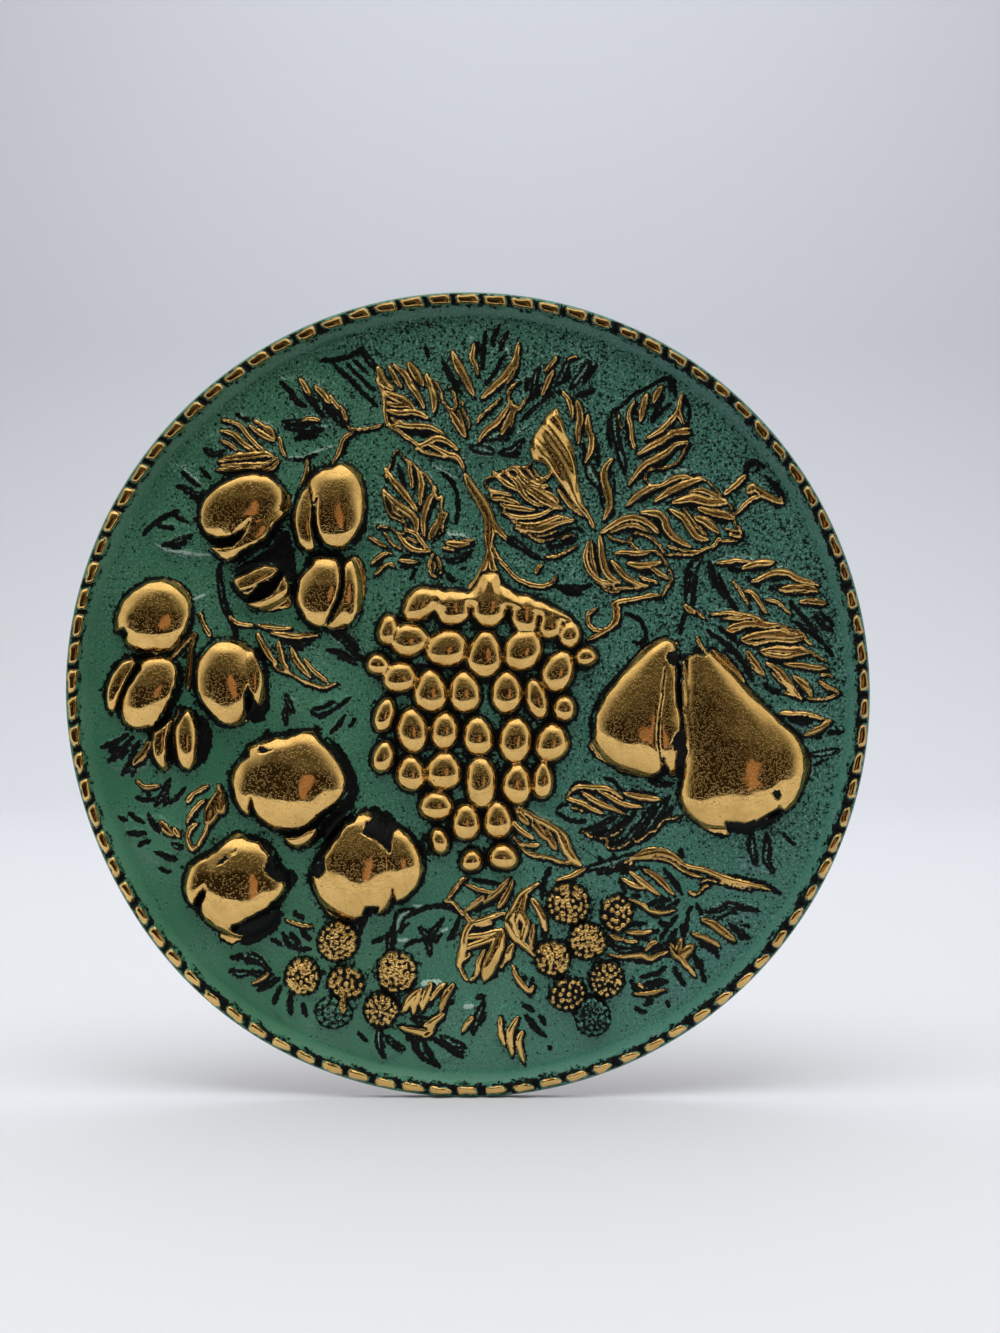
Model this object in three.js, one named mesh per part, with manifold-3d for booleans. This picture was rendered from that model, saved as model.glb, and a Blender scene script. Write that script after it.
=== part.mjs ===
// Round wall plaque of pressed sheet brass: a shallow dish with a rope rim and fruit in relief.
// Millimetres. +Z is up and the front faces -Y. The origin lies on the wall side of the hanging strap,
// in the web above its nail slot.

import * as THREE from "three";
import { ConvexGeometry } from "three/addons/geometries/ConvexGeometry.js";
import { mergeVertices } from "three/addons/utils/BufferGeometryUtils.js";
import Module from "manifold-3d";

const wasm = await Module();
wasm.setup();

// ---------------------------------------------------------------- driving dimensions

const PLAQUE_RADIUS = 101.6; // an eight inch plate
const SHEET = 0.8; // thickness of the pressed sheet
const FIELD_RADIUS = 96.2; // the flat field ends here and the rim begins to rise
const RIM_INNER = 98.0; // inner edge of the flat top of the rim
const RIM_OUTER = 101.3; // outer edge of the flat top of the rim
const RIM_RISE = 2.2; // the top of the rim stands this far in front of the field
const ROUND = 60; // sides of the plate
const BEADS = 90; // beads of the rope rim

const BEAD_RADIUS = 99.6; // the rope's beads are centred on this circle
const BEAD_LENGTH = 5.6;
const BEAD_WIDTH = 2.2;
const BEAD_RISE = 1.2; // crest above the flat top of the rim
const BEAD_TWIST = 9; // degrees by which each bead slants across the rim

const ROOT = 0.4; // how deep relief reaches into the sheet that it stands on
const PEACH_RISE = 7.0;
const PEAR_RISE = 6.5;
const PLUM_RISE = 5.0;
const GRAPE_RISE = 3.4;
const BERRY_RISE = 2.6;
const LEAF_RISE = 0.9;
const LOBE_RISE = 1.2; // a vine leaf's lobes stand a little prouder
const SLIM_LEAF = 7.5; // leaves narrower than this have a midrib alone
const BROAD_LEAF = 11; // leaves at least this wide have two pairs of side ribs
const RIB_WIDTH = 2.2;
const RIB_RISE = 1.5;
const STEM_RADIUS = 0.8;
const WALL = 1.3; // metal left between a fruit's front and the hollow behind it

const STRAP_THICKNESS = 1.0;
const STRAP_HEIGHT = 14.0;
const STRAP_SPAN = 20.0; // width of the raised middle of the strap
const STRAP_FOOT = 8.0; // length of each soldered foot
const STRAP_GAP = 4.2; // clear space between the strap and the sheet, for a nail's head
const SLOT_WIDTH = 6.0;
const SLOT_HEIGHT = 7.0;
const WEB = 3.0; // material above the slot
const SOLDER_GAP = 0.3;
const STRAP_RADIUS = 88.0; // distance from the plate's centre up to the origin

const PLATE_FRONT = STRAP_THICKNESS + STRAP_GAP + SHEET; // the field's front face lies at y = -PLATE_FRONT

const DEGREE = Math.PI / 180;

// ---------------------------------------------------------------- layout of the relief
// Plate coordinates seen from the front: x to the right, y up, from the plate's centre.
// A swell is [x, y, half width, half height, turn in degrees, part of the full rise].

const PLUMS = [
  [-58.2, 47.2, 12.2, 8.8, 22, 1.0],
  [-55.8, 40.4, 10.6, 5.4, 26, 0.8],
  [-34.0, 47.7, 8.6, 11.3, 0, 1.0],
  [-39.9, 44.4, 4.2, 8.2, 4, 0.75],
  [-53.6, 28.6, 7.6, 4.4, 22, 0.8],
  [-50.2, 26.0, 6.6, 3.6, 26, 0.7],
  [-36.0, 26.0, 8.6, 9.8, 0, 1.0],
  [-29.6, 26.0, 3.2, 8.4, 0, 0.75],
  [-79.5, 19.7, 10.0, 9.7, 0, 1.0],
  [-80.0, 0.6, 10.2, 7.8, 62, 1.0],
  [-87.6, 2.6, 8.4, 3.6, 64, 0.8],
  [-61.2, 3.0, 8.7, 11.3, 0, 1.0],
  [-54.0, 3.6, 3.2, 8.2, -6, 0.75],
  [-77.0, -11.6, 3.2, 8.4, -8, 0.8],
  [-71.2, -11.4, 3.6, 8.4, 0, 0.8],
];

const PEACHES = [
  [-45.0, -22.0, 14.0, 12.6, 0, 1.0],
  [-53.4, -21.6, 6.4, 10.0, -12, 0.75],
  [-42.0, -34.8, 5.6, 3.4, 32, 0.5],
  [-57.6, -48.4, 12.6, 12.8, 0, 1.0],
  [-66.6, -48.2, 5.2, 9.2, -8, 0.75],
  [-28.0, -43.6, 11.8, 13.8, 0, 1.0],
  [-18.0, -43.0, 7.0, 10.2, 8, 0.8],
];

const GRAPES = [
  [-12.0, 23.0, 5.2, 4.2, 30],
  [-3.7, 22.0, 4.5, 5.0, 0],
  [5.3, 22.0, 4.6, 5.6, 0],
  [14.3, 20.3, 3.8, 4.8, -8],
  [20.8, 18.0, 3.4, 4.2, -10],
  [25.8, 15.2, 3.0, 3.6, -20],
  [-20.0, 16.5, 3.2, 4.2, -12],
  [-14.7, 14.0, 5.1, 4.4, 20],
  [-5.3, 11.7, 5.4, 5.0, 0],
  [4.4, 10.3, 4.4, 5.8, 0],
  [14.1, 11.5, 5.0, 5.8, -18],
  [22.8, 6.0, 4.1, 5.8, -16],
  [29.8, 9.7, 3.3, 2.8, 0],
  [-23.0, 7.5, 3.1, 3.0, 0],
  [-17.2, 4.5, 4.6, 4.2, 0],
  [-9.3, 0.9, 4.4, 5.6, 0],
  [-0.6, 0.8, 4.2, 5.6, 0],
  [9.7, 0.9, 4.1, 5.6, 0],
  [17.2, -1.2, 3.1, 5.5, 12],
  [24.4, -3.4, 3.2, 3.4, 0],
  [-20.8, -5.1, 3.0, 4.8, -14],
  [-14.0, -9.3, 3.8, 6.1, 0],
  [-5.9, -9.0, 4.1, 4.9, 0],
  [2.8, -10.5, 3.8, 5.3, 0],
  [11.8, -11.4, 4.3, 5.9, 0],
  [21.4, -12.0, 4.6, 5.1, 0],
  [-21.3, -15.9, 2.8, 4.5, -12],
  [-14.6, -20.2, 4.0, 4.6, 0],
  [-6.1, -19.0, 4.8, 5.0, 0],
  [3.5, -22.2, 4.3, 6.6, 0],
  [12.7, -22.4, 3.9, 5.5, 0],
  [19.2, -21.4, 2.8, 5.2, 0],
  [-8.0, -27.7, 4.4, 3.9, 0],
  [-0.6, -32.2, 3.8, 5.0, 0],
  [7.6, -31.6, 3.9, 4.8, 0],
  [-7.2, -36.8, 2.6, 3.9, 14],
  [1.0, -42.2, 3.1, 3.2, 0],
  [9.1, -41.0, 3.8, 3.7, 0],
];

const BERRIES = [
  [25.6, -53.0, 5.4, 5.1, 0],
  [37.8, -55.2, 3.8, 4.7, 0],
  [30.3, -62.3, 4.7, 4.8, 0],
  [21.5, -66.8, 4.6, 4.4, 0],
  [35.2, -72.0, 4.4, 4.4, 0],
  [25.4, -75.8, 4.7, 4.1, 0],
  [31.8, -81.6, 4.2, 4.6, 0],
  [-32.8, -62.6, 4.9, 5.0, 0],
  [-41.8, -71.2, 4.5, 4.8, 0],
  [-30.6, -72.9, 4.6, 3.9, 0],
  [-34.0, -80.5, 4.4, 3.6, 0],
  [-18.0, -70.2, 4.9, 5.1, 0],
  [-22.0, -79.8, 4.4, 4.2, 0],
];

// A pear is its axis from stem to base, and its half widths along it.
const PEARS = [
  {
    axis: [[50.6, 14.4], [46.8, 3.0], [43.4, -8.4], [43.0, -20.6]],
    widths: [2.6, 5.6, 9.0, 12.2, 11.8, 7.6, 1.0],
  },
  {
    axis: [[59.4, 11.6], [62.6, -3.0], [68.6, -18.6], [69.4, -34.6]],
    widths: [3.2, 7.8, 10.6, 14.4, 16.2, 12.6, 1.6],
  },
];

// A leaf is [base x, base y, tip x, tip y, width].
const LEAVES = [
  [-48.0, 62.0, -66.0, 64.6, 12],
  [-31.0, 69.0, -46.6, 80.0, 11],
  [-65.0, 37.4, -81.4, 42.0, 9],
  [-53.6, 16.0, -33.0, 2.6, 9],
  [-26.6, 9.0, -35.0, 16.0, 6],
  [62.0, 33.0, 91.0, 17.0, 14],
  [60.0, 19.5, 93.6, 1.4, 13],
  [12.0, -30.0, 28.0, -42.2, 10],
  [52.6, -26.0, 24.0, -30.0, 14],
  [76.6, -4.0, 93.6, -8.6, 6],
  [69.6, -35.0, 78.0, -45.0, 11],
  [-45.0, -0.6, -44.4, -8.0, 5],
  [-30.0, -0.6, -40.6, -4.6, 5],
  [-65.2, -22.8, -70.4, -38.6, 7],
  [-62.6, -23.4, -65.4, -33.0, 5],
  [-72.4, -39.0, -88.0, -32.6, 12],
  [-80.0, -12.0, -91.6, -17.6, 11],
  [17.0, -49.0, 14.6, -65.0, 9],
  [6.6, -56.0, 1.0, -72.4, 11],
  [9.4, -47.0, -5.0, -52.0, 8],
  [39.2, -45.8, 52.0, -54.6, 9],
  [61.0, -55.0, 73.6, -54.6, 5],
  [58.6, -57.4, 70.6, -62.6, 7],
  [51.6, -60.6, 37.2, -64.4, 7],
  [53.6, -62.4, 57.6, -71.6, 7],
  [53.0, -69.6, 42.4, -76.6, 11],
  [3.4, -76.4, 0.2, -84.6, 6],
  [8.6, -79.0, 13.4, -92.4, 9],
  [11.4, -68.8, 17.2, -76.8, 6],
  [-5.0, -74.6, -15.4, -84.4, 11],
  [-40.6, -57.0, -48.0, -63.4, 9],
  [-50.4, -67.6, -59.4, -70.4, 7],
  [-41.6, -74.4, -48.0, -81.6, 9],
  [-20.0, -84.4, -22.0, -93.2, 9],
  [-11.6, -86.6, -3.0, -92.4, 8],
];

// A vine leaf is the point where its veins meet and its lobes as [direction in degrees, length, width].
const VINE_LEAVES = [
  { at: [1.5, 62.6], lobes: [[166, 22, 9], [148, 27, 11], [98, 27, 11], [74, 29, 12], [36, 37, 11]] },
  { at: [-9.5, 37.6], lobes: [[109, 25, 13], [161, 16, 8], [6, 11, 7], [-84, 8, 5], [206, 15, 6]] },
  {
    at: [31.0, 40.6],
    lobes: [
      [107, 36, 14], [152, 29, 16], [64, 42, 18], [0, 38, 18],
      [-36, 24, 10], [-64, 15, 8], [-92, 13, 8],
    ],
  },
];

// A stem is the points of its centre line.
const STEMS = [
  [[0.0, 55.0], [2.6, 50.4], [5.2, 44.4], [5.2, 37.0], [1.0, 28.0]],
  [[3.6, 48.8], [6.6, 43.0], [11.6, 38.6], [18.0, 34.4]],
  [[6.2, 38.0], [11.2, 30.8], [18.4, 27.6], [22.8, 30.4]],
  [[47.8, 25.2], [42.0, 24.0], [37.8, 21.0], [35.6, 16.4], [30.0, 13.6]],
  [[64.8, 50.6], [70.6, 54.4], [74.6, 58.0]],
  [[71.4, 51.6], [75.6, 50.6], [79.4, 48.8]],
  [[57.6, 34.0], [55.6, 25.0], [56.0, 20.0], [52.4, 15.2]],
  [[-29.2, 66.8], [-38.0, 61.4], [-46.6, 61.0]],
  [[-62.8, 32.0], [-61.8, 23.0], [-58.4, 15.0]],
  [[23.8, -47.4], [30.0, -43.4], [39.6, -40.6], [46.0, -38.9], [54.8, -42.4], [65.2, -46.4], [77.4, -49.4]],
  [[-20.0, -65.0], [-19.4, -60.4], [-16.4, -56.6], [-10.0, -53.8], [-2.4, -55.0]],
];

// ---------------------------------------------------------------- solids

function solid(geometry) {
  geometry.deleteAttribute("normal");
  geometry.deleteAttribute("uv");
  const merged = mergeVertices(geometry, 1e-4);
  const index = merged.index.array;
  const triangles = [];
  for (let i = 0; i < index.length; i += 3) {
    const [a, b, c] = index.slice(i, i + 3);
    if (a !== b && b !== c && c !== a) triangles.push(a, b, c);
  }
  const mesh = new wasm.Mesh({
    numProp: 3,
    vertProperties: new Float32Array(merged.attributes.position.array),
    triVerts: new Uint32Array(triangles),
  });
  return new wasm.Manifold(mesh);
}

function geometryOf(manifold) {
  const mesh = manifold.getMesh();
  const geometry = new THREE.BufferGeometry();
  geometry.setAttribute("position", new THREE.BufferAttribute(new Float32Array(mesh.vertProperties), 3));
  geometry.setIndex(new THREE.BufferAttribute(new Uint32Array(mesh.triVerts), 1));
  geometry.computeVertexNormals();
  return geometry;
}

function joined(solids) {
  return solids.reduce((whole, piece) => whole.add(piece));
}

// A profile of [radius, height] pairs turned about the plate's axis, which is Z in plate coordinates.
function turned(profile, sides) {
  const points = profile.map(([radius, height]) => new THREE.Vector2(radius, height));
  return new THREE.LatheGeometry(points, sides).rotateX(Math.PI / 2);
}

// ---------------------------------------------------------------- the sheet and its rope rim

function dish() {
  const back = -SHEET;
  const underRim = RIM_RISE - SHEET;
  const profile = [
    [0, back],
    [FIELD_RADIUS + 0.3, back],
    [RIM_INNER + 0.4, underRim],
    [RIM_OUTER - 0.6, underRim],
    [PLAQUE_RADIUS - SHEET, back],
    [PLAQUE_RADIUS, back],
    [PLAQUE_RADIUS, RIM_RISE - SHEET],
    [RIM_OUTER, RIM_RISE],
    [RIM_INNER, RIM_RISE],
    [FIELD_RADIUS, 0],
    [0, 0],
  ];
  return solid(turned(profile, ROUND));
}

function bead(angle) {
  const along = BEAD_LENGTH / 2;
  const across = BEAD_WIDTH / 2;
  const corners = [];
  for (const [u, v] of [[-1, -1], [1, -1], [1, 1], [-1, 1]]) {
    corners.push(new THREE.Vector3(u * across, v * along, RIM_RISE - ROOT));
  }
  for (const v of [-0.6, 0.6]) {
    corners.push(new THREE.Vector3(0, v * along, RIM_RISE + BEAD_RISE));
  }
  const geometry = new ConvexGeometry(corners);
  geometry.rotateZ(BEAD_TWIST * DEGREE);
  geometry.translate(BEAD_RADIUS, 0, 0);
  geometry.rotateZ(angle);
  return solid(geometry);
}

function ropeRim() {
  const beads = [];
  for (let i = 0; i < BEADS; i += 1) {
    beads.push(bead((i * 2 * Math.PI) / BEADS + Math.PI / 2));
  }
  return joined(beads);
}

// ---------------------------------------------------------------- fruit

// A rounded swell: steep at its edge and broad on top.
function swell([x, y, halfWidth, halfHeight, turn], rise, sides, rings, inset = 0) {
  const profile = [[0, -ROOT - inset]];
  profile.push([1, -ROOT - inset]);
  for (let i = 0; i < rings; i += 1) {
    const angle = (i / rings) * (Math.PI / 2);
    profile.push([Math.cos(angle) ** 0.85, Math.sin(angle) * (rise - inset)]);
  }
  profile.push([0, rise - inset]);
  const geometry = turned(profile, sides);
  geometry.scale(halfWidth - inset, halfHeight - inset, 1);
  geometry.rotateZ(turn * DEGREE);
  geometry.translate(x, y, 0);
  return solid(geometry);
}

function fruit(rows, rise, sides, rings) {
  return rows.map((row) => swell(row, rise * (row[5] ?? 1), sides, rings));
}

function isWhole(row) {
  return row[5] === 1;
}

// The hollow behind a fruit follows its front, a wall's thickness deeper.
function hollow(row, rise) {
  return swell(row, rise, 8, 2, WALL);
}

// A body lofted along an axis through half-round sections of changing width.
function loft(axisPoints, widths, rise, steps, inset = 0) {
  const axis = new THREE.CatmullRomCurve3(axisPoints.map(([x, y]) => new THREE.Vector3(x, y, 0)));
  const broadest = Math.max(...widths);
  const vertices = [];
  widths.forEach((width, i) => {
    const t = i / (widths.length - 1);
    const centre = axis.getPoint(t);
    const tangent = axis.getTangent(t);
    const half = Math.max(width - inset, 0.4);
    const crest = (rise - inset) * (0.35 + (0.65 * width) / broadest);
    const ends = [Math.PI, 0].map((angle) => [Math.cos(angle) * half, -ROOT - inset]);
    const arch = [];
    for (let k = 0; k <= steps; k += 1) {
      const angle = Math.PI * (1 - k / steps);
      arch.push([Math.cos(angle) * half, Math.sin(angle) * crest]);
    }
    for (const [side, height] of [ends[0], ...arch, ends[1]]) {
      vertices.push([centre.x - tangent.y * side, centre.y + tangent.x * side, height]);
    }
  });
  const count = steps + 3;
  const triangles = [];
  for (let i = 0; i < widths.length - 1; i += 1) {
    for (let k = 0; k < count; k += 1) {
      const a = i * count + k;
      const b = i * count + ((k + 1) % count);
      triangles.push(a, a + count, b, b, a + count, b + count);
    }
  }
  const last = (widths.length - 1) * count;
  for (let k = 1; k < count - 1; k += 1) {
    triangles.push(0, k, k + 1);
    triangles.push(last, last + k + 1, last + k);
  }
  const geometry = new THREE.BufferGeometry();
  geometry.setAttribute("position", new THREE.Float32BufferAttribute(vertices.flat(), 3));
  geometry.setIndex(triangles);
  return solid(geometry);
}

function pear({ axis, widths }) {
  return loft(axis, widths, PEAR_RISE, 6);
}

// ---------------------------------------------------------------- leaves and stems

const BROAD_OUTLINE = [[0, 0], [0.3, 0.5], [0.65, 0.4], [1, 0], [0.65, -0.4], [0.3, -0.5]];
const SLIM_OUTLINE = [[0, 0], [0.4, 0.5], [1, 0], [0.4, -0.5]];

// A blade is a low pointed roof over its outline, from base to tip. Its ridge stands at the given parts
// of its length.
function blade([fromX, fromY, toX, toY], width, rise, outline, ridge) {
  const length = Math.hypot(toX - fromX, toY - fromY);
  const corners = outline.map(([t, side]) => new THREE.Vector3(t * length, side * width, -ROOT));
  ridge.forEach((t) => corners.push(new THREE.Vector3(t * length, 0, rise)));
  const geometry = new ConvexGeometry(corners);
  geometry.rotateZ(Math.atan2(toY - fromY, toX - fromX));
  geometry.translate(fromX, fromY, 0);
  return solid(geometry);
}

// Side ribs leave a leaf's midrib in pairs, slanting towards its tip.
function veined([fromX, fromY, toX, toY], width, rise, pairs) {
  const angle = Math.atan2(toY - fromY, toX - fromX);
  const solids = [blade([fromX, fromY, toX, toY], width, rise, BROAD_OUTLINE, [0.25, 0.75])];
  for (let i = 0; i < pairs; i += 1) {
    const t = 0.2 + (0.5 * i) / Math.max(pairs - 1, 1);
    const x = fromX + t * (toX - fromX);
    const y = fromY + t * (toY - fromY);
    for (const side of [-1, 1]) {
      const reach = 0.62 * width * (1 - 0.35 * t);
      const slant = angle + side * 38 * DEGREE;
      const end = [x + reach * Math.cos(slant), y + reach * Math.sin(slant)];
      solids.push(blade([x, y, ...end], RIB_WIDTH, RIB_RISE, SLIM_OUTLINE, [0.4]));
    }
  }
  return solids;
}

function ribPairs(width) {
  if (width < SLIM_LEAF) return 0;
  return width < BROAD_LEAF ? 1 : 2;
}

function leaf([fromX, fromY, toX, toY, width]) {
  return veined([fromX, fromY, toX, toY], width, LEAF_RISE, ribPairs(width));
}

function vineLeaf({ at: [x, y], lobes }) {
  return lobes.flatMap(([direction, length, width]) => {
    const tipX = x + length * Math.cos(direction * DEGREE);
    const tipY = y + length * Math.sin(direction * DEGREE);
    return veined([x, y, tipX, tipY], width, LOBE_RISE, ribPairs(width));
  });
}

function stem(points) {
  const path = new THREE.CatmullRomCurve3(points.map(([x, y]) => new THREE.Vector3(x, y, 0.25)));
  const section = new THREE.Shape(new THREE.EllipseCurve(0, 0, STEM_RADIUS, STEM_RADIUS).getPoints(4));
  const geometry = new THREE.ExtrudeGeometry(section, {
    steps: points.length,
    bevelEnabled: false,
    extrudePath: path,
  });
  return solid(geometry);
}

// ---------------------------------------------------------------- the plaque

function plaque() {
  const relief = joined([
    dish(),
    ropeRim(),
    ...fruit(PEACHES, PEACH_RISE, 12, 3),
    ...fruit(PLUMS, PLUM_RISE, 10, 3),
    ...fruit(GRAPES, GRAPE_RISE, 8, 2),
    ...fruit(BERRIES, BERRY_RISE, 6, 2),
    ...PEARS.map(pear),
    ...LEAVES.flatMap(leaf),
    ...VINE_LEAVES.flatMap(vineLeaf),
    ...STEMS.map(stem),
  ]);
  const hollows = joined([
    ...PEACHES.filter(isWhole).map((row) => hollow(row, PEACH_RISE)),
    ...PLUMS.filter(isWhole).map((row) => hollow(row, PLUM_RISE)),
    ...PEARS.map(({ axis, widths }) => loft(axis, widths, PEAR_RISE, 4, WALL)),
  ]);
  const material = new THREE.MeshStandardMaterial({ color: 0x3c6b55, roughness: 0.45, metalness: 0.4 });
  const mesh = new THREE.Mesh(geometryOf(relief.subtract(hollows)), material);
  mesh.name = "plaque";
  mesh.rotation.x = Math.PI / 2;
  mesh.position.set(0, -PLATE_FRONT, -STRAP_RADIUS);
  return mesh;
}

// ---------------------------------------------------------------- the hanging strap

// A strip bent into a bridge, extruded over its height, with a nail slot cut through its raised middle.
function hanger() {
  const inner = STRAP_SPAN / 2 - STRAP_THICKNESS;
  const outer = STRAP_SPAN / 2;
  const end = outer + STRAP_FOOT;
  const sole = STRAP_THICKNESS + STRAP_GAP - SOLDER_GAP;
  const heel = sole - STRAP_THICKNESS;
  const outline = [
    [-end, sole], [-end, heel], [-outer, heel], [-outer, 0], [outer, 0], [outer, heel], [end, heel],
    [end, sole], [inner, sole], [inner, STRAP_THICKNESS], [-inner, STRAP_THICKNESS], [-inner, sole],
  ];
  const bridge = new THREE.Shape(outline.map(([x, depth]) => new THREE.Vector2(x, -depth)));
  const strip = new THREE.ExtrudeGeometry(bridge, { depth: STRAP_HEIGHT, bevelEnabled: false });
  strip.translate(0, 0, WEB / 2 - STRAP_HEIGHT);
  const slot = new THREE.BoxGeometry(SLOT_WIDTH, 3 * STRAP_THICKNESS, SLOT_HEIGHT);
  slot.translate(0, 0, -WEB / 2 - SLOT_HEIGHT / 2);
  const material = new THREE.MeshStandardMaterial({ color: 0x8a6a35, roughness: 0.4, metalness: 1 });
  const mesh = new THREE.Mesh(geometryOf(solid(strip).subtract(solid(slot))), material);
  mesh.name = "hanger";
  return mesh;
}

const wallPlaque = new THREE.Group();
wallPlaque.add(plaque(), hanger());

export default wallPlaque;
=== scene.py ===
# %% [markdown]
# # A pressed brass wall plaque
# The object is a round plate, about 203 mm across, pressed from thin sheet brass. Its front shows a bunch of
# grapes, plums, peaches, pears, brambles and leaves in relief, inside a rope rim. It was blackened, its
# ground was painted green, and the high parts were rubbed back to bright metal. A slotted strap is soldered
# to its back, and the plate hangs from it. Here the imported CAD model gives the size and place, and Blender
# adds the relief at full detail and the finishes.

import bpy
import numpy as np
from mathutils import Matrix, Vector


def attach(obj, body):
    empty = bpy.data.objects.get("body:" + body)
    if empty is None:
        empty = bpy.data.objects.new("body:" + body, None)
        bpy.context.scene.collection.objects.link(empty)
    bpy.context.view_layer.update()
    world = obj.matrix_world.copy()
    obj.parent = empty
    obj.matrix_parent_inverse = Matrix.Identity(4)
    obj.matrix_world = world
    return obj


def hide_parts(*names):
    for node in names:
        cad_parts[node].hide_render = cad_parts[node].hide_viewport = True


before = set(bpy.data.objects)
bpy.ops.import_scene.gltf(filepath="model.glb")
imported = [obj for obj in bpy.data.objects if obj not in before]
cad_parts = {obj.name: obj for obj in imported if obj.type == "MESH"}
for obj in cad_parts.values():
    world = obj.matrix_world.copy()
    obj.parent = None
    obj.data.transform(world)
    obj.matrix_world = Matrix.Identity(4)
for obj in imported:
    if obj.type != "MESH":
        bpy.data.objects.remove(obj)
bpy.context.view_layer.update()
MM = 0.001
scene = bpy.context.scene

# %% [markdown]
# ## The sheet as a grid of heights
# The real plaque is one sheet of brass, pressed between two dies. A pressed sheet has one height at every
# place, so its front can be drawn on a flat grid: each fruit, leaf rib and bead raises the grid a little.
# That is quicker and finer than modelling each leaf as an object, and nothing can cut through its neighbour.
# Sizes are in millimetres on the plate: x to the right, y up, both from the plate's middle, and the height
# comes towards the viewer.

# %% The grid
PITCH = 0.2
REACH = 104.0
LINE = np.arange(-REACH, REACH + PITCH / 2, PITCH)
COUNT = len(LINE)
GRID_X, GRID_Y = np.meshgrid(LINE, LINE)
RADIUS = np.hypot(GRID_X, GRID_Y)
ANGLE = np.degrees(np.arctan2(GRID_Y, GRID_X))


def window(low, high, margin):
    """The part of the grid that covers a box, given by two corners, and a margin round it."""
    first = [max(0, int((v - margin + REACH) / PITCH)) for v in low]
    last = [max(0, int((v + margin + REACH) / PITCH) + 2) for v in high]
    return slice(first[1], last[1]), slice(first[0], last[0])


def layer(value):
    """The same value at every point of the grid."""
    return np.full((COUNT, COUNT), value, np.float32)


def lift(target, part, values):
    """Raises part of a layer to these values wherever they are higher."""
    target[part] = np.maximum(target[part], values)


def lower(target, part, values):
    """Brings part of a layer down to these values wherever they are lower."""
    target[part] = np.minimum(target[part], values)


print("grid of", COUNT, "by", COUNT, "points,", PITCH, "mm apart")

# %% [markdown]
# The sheet keeps six measures at every point. `height` is the pressed shape. Three say how far the point
# lies inside a finish, in millimetres, where below zero is outside: `polish` is metal rubbed bright,
# `dark` is black patina left in a hollow or on a rib, and the third is pale paint, partly worn thin at an
# edge and partly a painted highlight on a crest. A distance makes a crisp edge on a coarse mesh, as a
# letter's outline does, while a painted picture would be blurred. `brown` says how tarnished the metal is,
# and on the rim beads it is mostly a painted reflection of the dark room. The last says how thick the dark
# specks of the wash lie, and round the relief it adds painted shade.

# %% The layers
FAR = 9.0
height, ridge, groove, brown = [layer(0.0) for _ in range(4)]
polish, dark, pale_rub_and_highlight = [layer(-FAR) for _ in range(3)]


def noise(cell, seed):
    """Smooth random waves between -1 and 1, with a knot every `cell` millimetres."""
    rng = np.random.default_rng(seed)
    knots = int(2 * REACH / cell) + 4
    values = rng.uniform(-1, 1, (knots, knots))
    place = (LINE + REACH) / cell + 1
    first = np.floor(place).astype(int)
    part = place - first
    part = part * part * (3 - 2 * part)
    rows = values[first] * (1 - part)[:, None] + values[first + 1] * part[:, None]
    return (rows[:, first] * (1 - part) + rows[:, first + 1] * part).astype(np.float32)


def waves(*rows):
    """Noises added up. Each row is its height and the size of its waves in mm, and its seed."""
    return sum(share * noise(cell, seed) for share, cell, seed in rows)


def blurred(values, sigma):
    """Gaussian blur, `sigma` in millimetres."""
    steps = int(np.ceil(3 * sigma / PITCH))
    offsets = np.arange(-steps, steps + 1)
    weights = np.exp(-0.5 * (offsets * PITCH / sigma) ** 2)
    weights /= weights.sum()
    result = values
    for axis in (0, 1):
        margins = [(steps, steps) if a == axis else (0, 0) for a in (0, 1)]
        padded = np.pad(result, margins, mode="edge")
        total = np.zeros_like(values)
        for offset, weight in zip(offsets, weights):
            start = steps + offset
            cut = [slice(None), slice(None)]
            cut[axis] = slice(start, start + COUNT)
            total += weight * padded[tuple(cut)]
        result = total
    return result


def merge(under, over, blend):
    """The higher of two shapes, with a fillet of about `blend` where they meet."""
    near = np.maximum(blend - np.abs(under - over), 0) / blend
    return np.maximum(under, over) + near * near * blend / 4


# Hand-cut dies have no ruler-straight lines, so every line is drawn on a slightly wavy grid.
WAVY_X = (GRID_X + 0.30 * noise(4.5, 1) + 0.12 * noise(1.6, 2)).astype(np.float32)
WAVY_Y = (GRID_Y + 0.30 * noise(4.5, 3) + 0.12 * noise(1.6, 4)).astype(np.float32)
UNEVEN_BORDER = noise(3.0, 55)
UNEVEN_X = (GRID_X + 0.55 * noise(8.0, 21)).astype(np.float32)
UNEVEN_Y = (GRID_Y + 0.55 * noise(8.0, 22)).astype(np.float32)

# %% [markdown]
# ## Fruit
# Each fruit is a swell: a dome over an oval, steep at its edge and gently rounded on top, as sheet metal
# stretches over a die. A plum, a peach or a grape is one or two overlapping swells. The rows are
# [x, y, half width, half height, turn in degrees, share of the full rise].

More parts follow.
